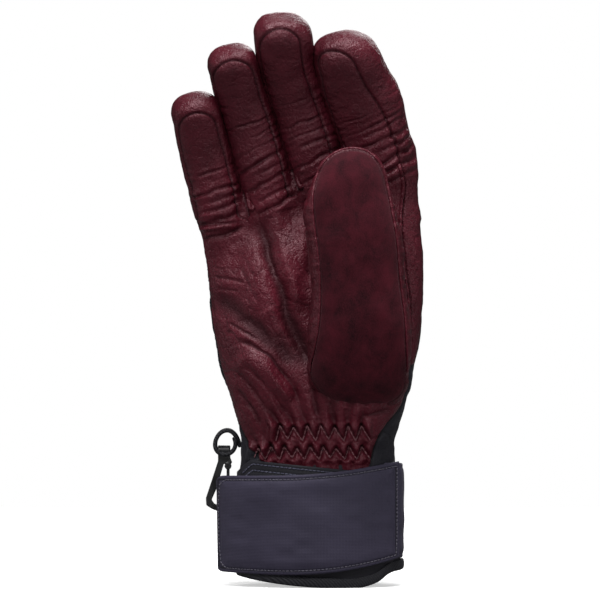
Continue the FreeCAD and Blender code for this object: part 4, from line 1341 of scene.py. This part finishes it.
def build_layer(kind, depth, thickness, look, slot):
    """One layer inside the hand, fingers and thumb, cut at the finger roots as the panels are."""
    skin = plain_skin(inner_field(depth), (-76, -30, 50), (56, 28, 280))
    nearest, s, _, _ = skin_coordinates(skin["rest"])
    owner = nearest[skin["faces"]][:, 0]
    on_finger = s[skin["faces"]].mean(1) > STARTS[owner]
    hand = cut_piece("hand_" + kind + "_layer", skin, ~on_finger, thickness)
    finish(hand, look, slot, "hand", "hand_" + kind)
    for n, finger in enumerate(NAMES):
        piece = cut_piece(finger + "_" + kind + "_layer", skin, on_finger & (owner == n), thickness)
        finish(piece, look, slot, finger, finger + "_base_" + kind, finger + "_tip_" + kind)
    skin = plain_skin(lambda p: thumb_field(p) + depth, (-12, -50, 78), (48, 0, 216))
    thumb = cut_piece("thumb_" + kind + "_layer", skin, np.ones(len(skin["faces"]), bool), thickness)
    finish(thumb, look, slot, "thumb", "thumb_" + kind)


build_layer("insulation", WADDING_DEPTH, 2.2, "insulation", "insulation")
build_layer("liner", LINING_DEPTH, 0.8, "lining", "lining")

# ---------------------------------------------------------------- cuff

CUFF_HALF, CUFF_DEPTH = 40.0, 25.0
HEM_X = (-40, -29, -10, 0, 19, 27, 33, 40)  # the hem rises towards both sides
HEM_Z = (5, 3.1, 0.7, 0, 0, 2.5, 6.5, 8)


def wrist_section(z):
    """Centre, half width and shaping power of the wrist: the cuff's, and near its top the hand's own."""
    share = smooth(40, 57, z)
    centre, half = hand_section(z)
    power = 2 / (2.15 * (1 - share) + SQUARENESS * share)
    return share * centre, CUFF_HALF * (1 - share) + half * share, power


def wrist_ring(angle, z, out):
    """Points round the wrist at a height, some way outside its section."""
    centre, half, power = wrist_section(z)
    share = smooth(40, 57, z)
    across, over = np.cos(angle), np.sin(angle)
    deep = np.where(over < 0, curve(z, HAND_Z, HAND_FRONT), curve(z, HAND_Z, HAND_BACK))
    deep = CUFF_DEPTH * (1 - share) + deep * share + out
    x = centre + (half + out) * np.sign(across) * np.abs(across) ** power
    return np.stack([x, deep * np.sign(over) * np.abs(over) ** power, z], 1)


def hem_height(angle):
    """Height of the hem round the cuff."""
    return curve(CUFF_HALF * np.cos(angle), HEM_X, HEM_Z)


def cuff_surface(angle, b):
    """The cuff's cloth, slightly crumpled away from its ends."""
    low = hem_height(angle) + 1.5
    z = low + (59.5 - low) * b
    p = wrist_ring(angle, z, -0.7)
    crumple = 0.8 * noise(p, (11.0, 11.0, 6.0), 71) + 0.35 * noise(p, (6.0, 6.0, 3.5), 72)
    p[:, :2] *= (1 + crumple / 34 * smooth(0, 0.1, b) * (1 - smooth(0.85, 1, b)))[:, None]
    return p


def binding_surface(angle, b):
    """The hem's tape: a soft fold, round at its lower edge."""
    turn = b * 2 * math.pi
    z = hem_height(angle) + 2.6 - 2.6 * np.cos(turn)
    out = 0.15 + 0.75 * np.sin(turn) + 0.12 * noise(np.stack([angle * 38, b * 0, b * 0], 1), 2.5, 73)
    return wrist_ring(angle, z, out)


def lining_surface(angle, b):
    """The lining inside the cuff."""
    low = hem_height(angle) + 0.8
    return wrist_ring(angle, low + (58.0 - low) * b, -2.6)


def elastic_surface(angle, b):
    """The elastic inside the wrist."""
    return wrist_ring(angle, 61.5 + 15.5 * b, -2.6)


# Name, surface, points round and up, thickness, look, slot, CAD node.
RINGS = (
    ("cuff_cloth", cuff_surface, 150, 40, 1.1, "cuff", "softshell", "cuff_shell"),
    ("hem_binding_tape", binding_surface, 220, 13, 0.25, "binding", "binding", "hem_binding"),
    ("cuff_fleece", lining_surface, 90, 24, 1.0, "lining", "fleece", "cuff_lining"),
    ("wrist_elastic_band", elastic_surface, 110, 12, 1.0, "elastic", "elastic", "wrist_elastic"),
)
for name, surface, rows, columns, thickness, look, slot, node in RINGS:
    finish(sheet_object(name, surface, rows, columns, thickness, ring=True), look, slot, "hand", node)

# ---------------------------------------------------------------- band, strap and its wrap

BAND_X = (-38.8, -35.5, -32.5, -20, 12, 34)
BAND_TOP = (55.2, 58.6, 61.2, 59.9, 56.6, 54.6)
STRAP_LEFT, STRAP_RIGHT = -51.5, 39.2
STRAP_TOP_X, STRAP_TOP = (-50, -30, -9.6, 12, 39.4), (53.4, 53.9, 54.5, 56.4, 60.7)
STRAP_LOW_X, STRAP_LOW = (-50, -30, -9.6, 12, 33.7, 39.4), (6.8, 6.3, 6.3, 8.2, 12.6, 14.2)
STRAP_CENTRE_Y, STRAP_RADIUS = 33.0, 62.5
STRAP_SLOPE = 0.7  # how much further in the free end is at its lower corner than at its upper one
EDGE_STITCH, STITCH_DIP = 2.1, 0.55  # the stitches' distance from the strap's edge, half width of their dip
BAND_STITCHES = (1.9, 4.9)  # the two rows' distances from the band's upper edge


def front_angle(x, z):
    """The angle of the point of the wrist's front that has a given x."""
    centre, half, power = wrist_section(z)
    across = np.clip((x - centre) / half, -0.999, 0.999)
    return -np.arccos(np.sign(across) * np.abs(across) ** (1 / power))


def band_surface(a, b):
    """The loop band round the front of the cuff, with two stitched rows under its edge."""
    x = BAND_X[0] + (BAND_X[-1] - BAND_X[0]) * a
    top = np.interp(x, BAND_X, BAND_TOP)
    z = 12 + (top - 12) * b
    p = wrist_ring(front_angle(x, z), z, 1.9)
    rows = sum(bell(top - z - depth, 0.5) for depth in BAND_STITCHES)
    p[:, 1] += 0.35 * rows + 0.25 * noise(p, 8.0, 81)
    return p


def strap_edges(x):
    """Lowest and highest point of the strap at x, with its free corners rounded."""
    corner = 3.4
    into = np.clip(corner - (x - STRAP_LEFT), 0, corner)
    inset = corner - np.sqrt(corner ** 2 - into ** 2)
    return curve(x, STRAP_LOW_X, STRAP_LOW) + inset, curve(x, STRAP_TOP_X, STRAP_TOP) - inset


def strap_end(share):
    """x of the strap's free end, at a share of its height."""
    return STRAP_LEFT + STRAP_SLOPE * (1 - share)


def strap_edge_distance(x, z):
    """How far inside the strap's edges a point of it lies."""
    low, top = strap_edges(x)
    share = np.clip((z - low) / (top - low), 0, 1)
    return np.minimum(np.minimum(z - low, top - z), np.minimum(x - strap_end(share), STRAP_RIGHT - 0.4 - x))


def strap_surface(a, b):
    """The strap's face: padded, drawn in along its stitches, on a circle round the wrist."""
    x = strap_end(b) + (STRAP_RIGHT - strap_end(b)) * a
    low, top = strap_edges(x)
    z = low + (top - low) * b
    edge = strap_edge_distance(x, z)
    swell = 0.9 * smooth(0, 7, edge) - 0.45 * bell(edge - EDGE_STITCH, STITCH_DIP)
    flat = np.stack([x, x * 0, z], 1)
    ripple = 0.35 * noise(flat, (26.0, 1.0, 11.0), 82) + 0.16 * noise(flat, (8.0, 1.0, 4.0), 83)
    pucker = 0.10 * np.sin(x * 1.9 + 2 * np.sin(z / 5)) * bell(edge - EDGE_STITCH, 1.6)
    radius = STRAP_RADIUS - 0.9 + swell + ripple * smooth(1, 5, edge) + pucker
    side = np.sqrt(np.maximum(STRAP_RADIUS ** 2 - x ** 2, 1)) / STRAP_RADIUS
    return np.stack([x * radius / STRAP_RADIUS, STRAP_CENTRE_Y - side * radius, z], 1)


def patch_surface(a, b):
    """The hook tape under the strap's free end."""
    x = -46.5 + 46.0 * a
    low, top = strap_edges(x)
    z = low + 3.5 + (top - low - 7) * b
    return np.stack([x, STRAP_CENTRE_Y - np.sqrt((STRAP_RADIUS - 2.7) ** 2 - x ** 2), z], 1)


# The strap's run from its front edge round to the back of the cuff, as (x, y).
WRAP_PATH = polyline(((31.5, -19), (36.5, -16.4), (39.6, -11), (41, -2), (40.4, 7), (36, 15.6),
                      (26, 22.4), (12, 26.2), (0, 26.9), (-12, 26.2)), 3)


def wrap_surface(a, b):
    """The strap's run to the back of the cuff: a runs along it, b up it."""
    length = lengths_along(WRAP_PATH)[-1]
    at = a * length
    low = 14.4 - 2.2 * smooth(0, 0.5, a)
    top = 60.0 - 1.2 * smooth(0, 0.5, a)
    z = low + (top - low) * b
    edge = np.minimum(np.minimum(z - low, top - z), (1 - a) * length)
    swell = 0.6 * smooth(0, 6, edge) - 0.4 * bell(edge - EDGE_STITCH, STITCH_DIP) - 0.6
    swell += 0.3 * noise(np.stack([at, at * 0, z], 1), (16.0, 1.0, 8.0), 84)
    out = np.stack([np.gradient(WRAP_PATH[:, 1]), -np.gradient(WRAP_PATH[:, 0])], 1)
    out /= np.linalg.norm(out, axis=1, keepdims=True)
    x, y, nx, ny = along_line(WRAP_PATH, at, np.hstack([WRAP_PATH, out]))
    return np.stack([x + nx * swell, y + ny * swell, z], 1)


band = sheet_object("loop_band", band_surface, 90, 60, 1.0)
finish(band, "softshell", "loop_fabric", "hand", "loop_panel")
strap = sheet_object("strap_cloth", strap_surface, 150, 84, 1.9)
strap_points, _ = read_mesh(strap)
# painted shade: the strap darkened in a thin line along its stitches' groove
stitch_line = strap_edge_distance(strap_points[:, 0], strap_points[:, 2]) - EDGE_STITCH
add_attribute(strap, "painted_shade", "FLOAT", bell(stitch_line, STITCH_DIP))
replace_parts(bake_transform(dress(strap, "strap")), "strap_face")
patch = sheet_object("strap_hook_tape", patch_surface, 40, 40, 1.2)
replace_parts(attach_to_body(dress(patch, "studs"), "strap"), "strap_hook_patch")
wrap = sheet_object("strap_wrap_cloth", wrap_surface, 110, 60, 1.7)
finish(wrap, "strap", "strap_softshell", "hand", "strap_wrap")

# ---------------------------------------------------------------- stitches, welt and threads


def add_stitches(name, parts, look):
    """One piece made of many stitches."""
    vertices, faces = join_meshes(parts)
    return dress(make_object(name, vertices, faces), look)


ZIGZAG_RADIUS = 0.34


def zigzag_stitches():
    """Three stitches to each stroke of the zigzags, where they lie on the leather."""
    t = np.linspace(0, 1, 7)
    radius = ZIGZAG_RADIUS * np.array([0.7, 0.95, 1, 1, 1, 0.95, 0.7])
    parts = []
    for row in (ROW_TOP, ROW_LOW):
        corners = zigzag(row)
        for stroke in zip(corners[:-1], corners[1:]):
            line = lay_on(front_tree, walk(stroke, 0.5))
            thirds = np.array_split(line, 3) if len(line) > 4 else ()
            for third in (part for part in thirds if len(part) > 1):
                path = third[0] + (third[-1] - third[0]) * t[:, None]
                path[:, 1] -= ZIGZAG_RADIUS * np.sin(t * math.pi) - 0.10
                parts.append(tube_mesh(path, radius, 8))
    return parts


def strap_outline(inset, corner=3.2):
    """The strap's stitch line: along the top, round the free end and back along the bottom."""
    left, right = STRAP_LEFT + inset, STRAP_RIGHT - inset
    x = np.linspace(right, left + corner, 50)
    top = np.stack([x, curve(x, STRAP_TOP_X, STRAP_TOP) - inset], 1)
    back = np.linspace(left + corner + STRAP_SLOPE, right, 50)
    low = np.stack([back, curve(back, STRAP_LOW_X, STRAP_LOW) + inset], 1)
    end = np.array([(left, top[-1][1] - corner), (left + STRAP_SLOPE, low[0][1] + corner)])
    return polyline(np.vstack([top, end, low, top[:1]]), 1)


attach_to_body(add_stitches("zigzag_thread", zigzag_stitches(), "zigzag_thread"), "hand")
strap_line = lay_on(surface_tree(strap), walk(strap_outline(EDGE_STITCH), 0.4))
strap_parts = stitch_parts(strap_line, 1.15, 0.75, 0.27)
strap_thread = add_stitches("strap_stitches", strap_parts, "strap_thread")
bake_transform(strap_thread)
band_tree = surface_tree(band)
band_parts = []
for depth in BAND_STITCHES:
    x = np.linspace(BAND_X[0] + 1.5, 14, 80)
    line = lay_on(band_tree, walk(np.stack([x, np.interp(x, BAND_X, BAND_TOP) - depth], 1), 0.4))
    band_parts += stitch_parts(line, 1.1, 0.9, 0.30)
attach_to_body(add_stitches("band_stitches", band_parts, "band_thread"), "hand")

WELT_LOW = 104  # the welt ends at this height on both sides


def welt_line():
    """The leather cord in the suede patch's edge: up one side, over the top and down the other."""
    line = walk(np.vstack([THUMB_LINE, THUMB_LINE[:1]]), 0.8)
    high = line[:, 1] > WELT_LOW
    turn = int(np.argmax(~high[:-1] & high[1:])) + 1
    line = np.roll(line[:-1], -turn, axis=0)
    return line[line[:, 1] > WELT_LOW]


welt_path = lay_on(thumb_tree, welt_line(), -0.1)
welt = dress(make_object("thumb_welt", *tube_mesh(walk(welt_path, 0.8), 0.62)), "leather")
attach(welt, "thumb")

# The gathered edge of the palm beside the thumb, rolled over its seam.
palm_edge = [(x - 1.2, z) for x, z in polyline(RIGHT_SEAM, 2) if 106 < z < 205]
edge_path = lay_on(front_tree, walk(palm_edge, 0.7), 0.1)
edge_radius = 0.75 + 0.3 * noise(edge_path, 3.1, 98) + 0.2 * noise(edge_path, 1.3, 99)
palm_welt = make_object("palm_edge_welt", *tube_mesh(edge_path, edge_radius))
attach(dress(palm_welt, "leather"), "hand")

# Rolled leather at the crotches between the fingers, seen from the front as (x, y, z).
WEB_ROLLS = {
    "pinky_ring_web": ((-39, -4, 210), (-37.6, -5.6, 202), (-36.2, -7.4, 194), (-34.9, -9.6, 187),
                       (-33.6, -11.2, 182.4), (-32, -10.6, 182), (-31.8, -8.4, 187), (-33.4, -5.8, 195),
                       (-35.6, -4, 203)),
    "ring_middle_web": ((-16.4, -4, 220), (-14.8, -5.6, 212), (-13, -7.6, 203.5), (-11.4, -9.8, 197),
                        (-9.9, -11.4, 192.8), (-8.2, -11, 192.6), (-8.2, -8.4, 198), (-9.8, -5.8, 206),
                        (-12, -4, 214)),
    "middle_index_web": ((9.6, -5, 226), (11, -8, 216), (12.4, -11, 209), (13.8, -12, 204),
                         (15.4, -11.4, 203.8), (16.4, -8, 209)),
}
for name, points in WEB_ROLLS.items():
    path = walk(polyline(points, 2), 0.6)
    share = np.linspace(0, 1, len(path))
    path = wander(path, 3.0, 0.35, 94)
    radius = 0.65 + 0.5 * bell(share - 0.55, 0.12) + 0.30 * noise(path, 2.0, 95)
    roll = make_object(name + "_roll", *tube_mesh(path, radius, 14))
    attach(dress(roll, "leather_painted_shade"), "hand")

# ---------------------------------------------------------------- tape loop, hook and gate


WEAR_ROUNDS, WEAR_SHARE = 5, 0.5  # how much the moulded edges are rounded


def rounded_copy(node, name, voxel):
    """A moulded copy of a CAD piece: the same shape with its edges worn round."""
    source = bpy.data.objects[node]
    obj = bpy.data.objects.new(name, source.data.copy())
    bpy.context.scene.collection.objects.link(obj)
    remesh = obj.modifiers.new("remesh", "REMESH")
    remesh.mode, remesh.voxel_size = "VOXEL", voxel * MM
    soften = obj.modifiers.new("soften", "SMOOTH")
    soften.factor, soften.iterations = WEAR_SHARE, WEAR_ROUNDS
    apply_modifiers(obj)
    obj.data.polygons.foreach_set("use_smooth", np.full(len(obj.data.polygons), True))
    return obj


for node, name, body, voxel in (("clip_hook", "moulded_hook", "clip", 0.30),
                                ("clip_gate", "moulded_gate", "gate", 0.22)):
    piece = rounded_copy(node, name, voxel * (1))
    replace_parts(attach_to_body(dress(piece, "plastic"), body), node)

# The tape's route in (x, z): sewn down, up and over, and round through the hook's eye.
LOOP_PATH = polyline(((-39.6, 66.4), (-40.6, 69.6), (-42, 72.4), (-44.4, 74.2), (-47.4, 73.4), (-49.6, 70.4),
                      (-50, 67), (-48.4, 64.6), (-45.2, 64.2), (-42.6, 65.8), (-41.8, 68.8), (-42.8, 71.4)), 2)


def loop_surface(a, b):
    """Tape standing on edge: its width runs along Y."""
    x, z = along_line(LOOP_PATH, a * lengths_along(LOOP_PATH)[-1])
    y = 6.0 + 5.0 * (b - 0.5) * 2 * (0.62 + 0.38 * smooth(0, 0.2, a))
    return np.stack([x, y, z], 1)


tape = sheet_object("tape_loop", loop_surface, 90, 16, 2.1)
finish(tape, "webbing", "webbing", "hand", "webbing_loop")

# ---------------------------------------------------------------- camera, lights and floor

LENS, SENSOR = 300.0, 36.0
VIEW_WIDTH = 289.2  # what the camera takes in at the palm's plane
VIEW_CENTRE = (-9.64, 138.3)
PALM_PLANE = 15  # how far that plane lies in front of the glove's middle


def make_camera():
    """A long lens square to the palm."""
    data = bpy.data.cameras.new("camera")
    data.lens, data.sensor_width = LENS, SENSOR
    camera = bpy.data.objects.new("camera", data)
    distance = VIEW_WIDTH * LENS / SENSOR
    camera.location = (VIEW_CENTRE[0] * MM, -(distance + PALM_PLANE) * MM, VIEW_CENTRE[1] * MM)
    camera.rotation_euler = (math.radians(90), 0, 0)
    data.clip_end = 20
    bpy.context.scene.collection.objects.link(camera)
    bpy.context.scene.camera = camera


def area_light(name, place, target, size, power):
    """A white rectangular soft light. Places and sizes are in metres."""
    data = bpy.data.lights.new(name, "AREA")
    data.shape, data.size, data.size_y = "RECTANGLE", size[0], size[1]
    data.energy = power
    light = bpy.data.objects.new(name, data)
    light.location = place
    light.rotation_euler = (Vector(target) - Vector(place)).to_track_quat("-Z", "Y").to_euler()
    bpy.context.scene.collection.objects.link(light)


def camera_only(tree, shown, lit, target):
    """Shows one surface to the lens and another to everything else."""
    path, mix = tree.nodes.new("ShaderNodeLightPath"), tree.nodes.new("ShaderNodeMixShader")
    tree.links.new(path.outputs["Is Camera Ray"], mix.inputs["Fac"])
    tree.links.new(lit.outputs[0], mix.inputs[1])
    tree.links.new(shown.outputs[0], mix.inputs[2])
    tree.links.new(mix.outputs[0], target.inputs["Surface"])


def make_floor():
    """White paper to the lens. Towards the glove it is flagged off, so that the leather keeps its depth."""
    corners = np.array([(-900, -900, 0), (900, -900, 0), (900, 900, 0), (-900, 900, 0)])
    floor = make_object("floor", corners, np.array([(0, 1, 2, 3)]))
    m = Shader("floor_paper", 0.9, 0.1)
    m.colour(m.mix(m.noise(60.0, 2.0), (0.93, 0.93, 0.93), (0.96, 0.96, 0.96)))
    m.surface.inputs["Emission Color"].default_value = (1, 1, 1, 1)
    m.surface.inputs["Emission Strength"].default_value = 0.5
    flag = m.nodes.new("ShaderNodeBsdfDiffuse")
    flag.inputs["Color"].default_value = (0.16, 0.16, 0.16, 1)
    camera_only(m.material.node_tree, m.surface, flag, m.nodes["Material Output"])
    floor.data.materials.append(m.material)
    keep_rest(floor)


def make_world():
    """White to the lens, almost dark to the glove."""
    world = bpy.data.worlds.new("studio")
    bpy.context.scene.world = world
    world.use_nodes = True
    nodes = world.node_tree.nodes
    shown, lit = nodes["Background"], nodes.new("ShaderNodeBackground")
    for node, strength in ((shown, 1.0), (lit, 0.05)):
        node.inputs["Color"].default_value = (1, 1, 1, 1)
        node.inputs["Strength"].default_value = strength
    camera_only(world.node_tree, shown, lit, nodes["World Output"])


make_camera()
for light in (("key", (-0.45, -1.55, 1.45), (0, 0, 0.15), (0.6, 0.6), 17),
              ("top", (0.05, -0.25, 1.45), (0, 0, 0.18), (0.7, 0.4), 22),
              ("right", (1.4, -0.5, 0.5), (0, 0, 0.14), (0.3, 0.8), 2.5),
              ("left", (-1.4, -0.1, 0.4), (0, 0, 0.14), (0.3, 0.8), 2.5),
              ("low", (0.55, -1.5, 0.10), (0.01, 0, 0.06), (0.5, 0.3), 3.2),
              ("back", (0.3, 1.5, 1.0), (0, 0, 0.14), (0.8, 0.8), 9)):
    area_light(*light)
make_floor()
make_world()
bpy.context.scene.view_settings.view_transform = "Standard"
bpy.context.scene.view_settings.look = "None"
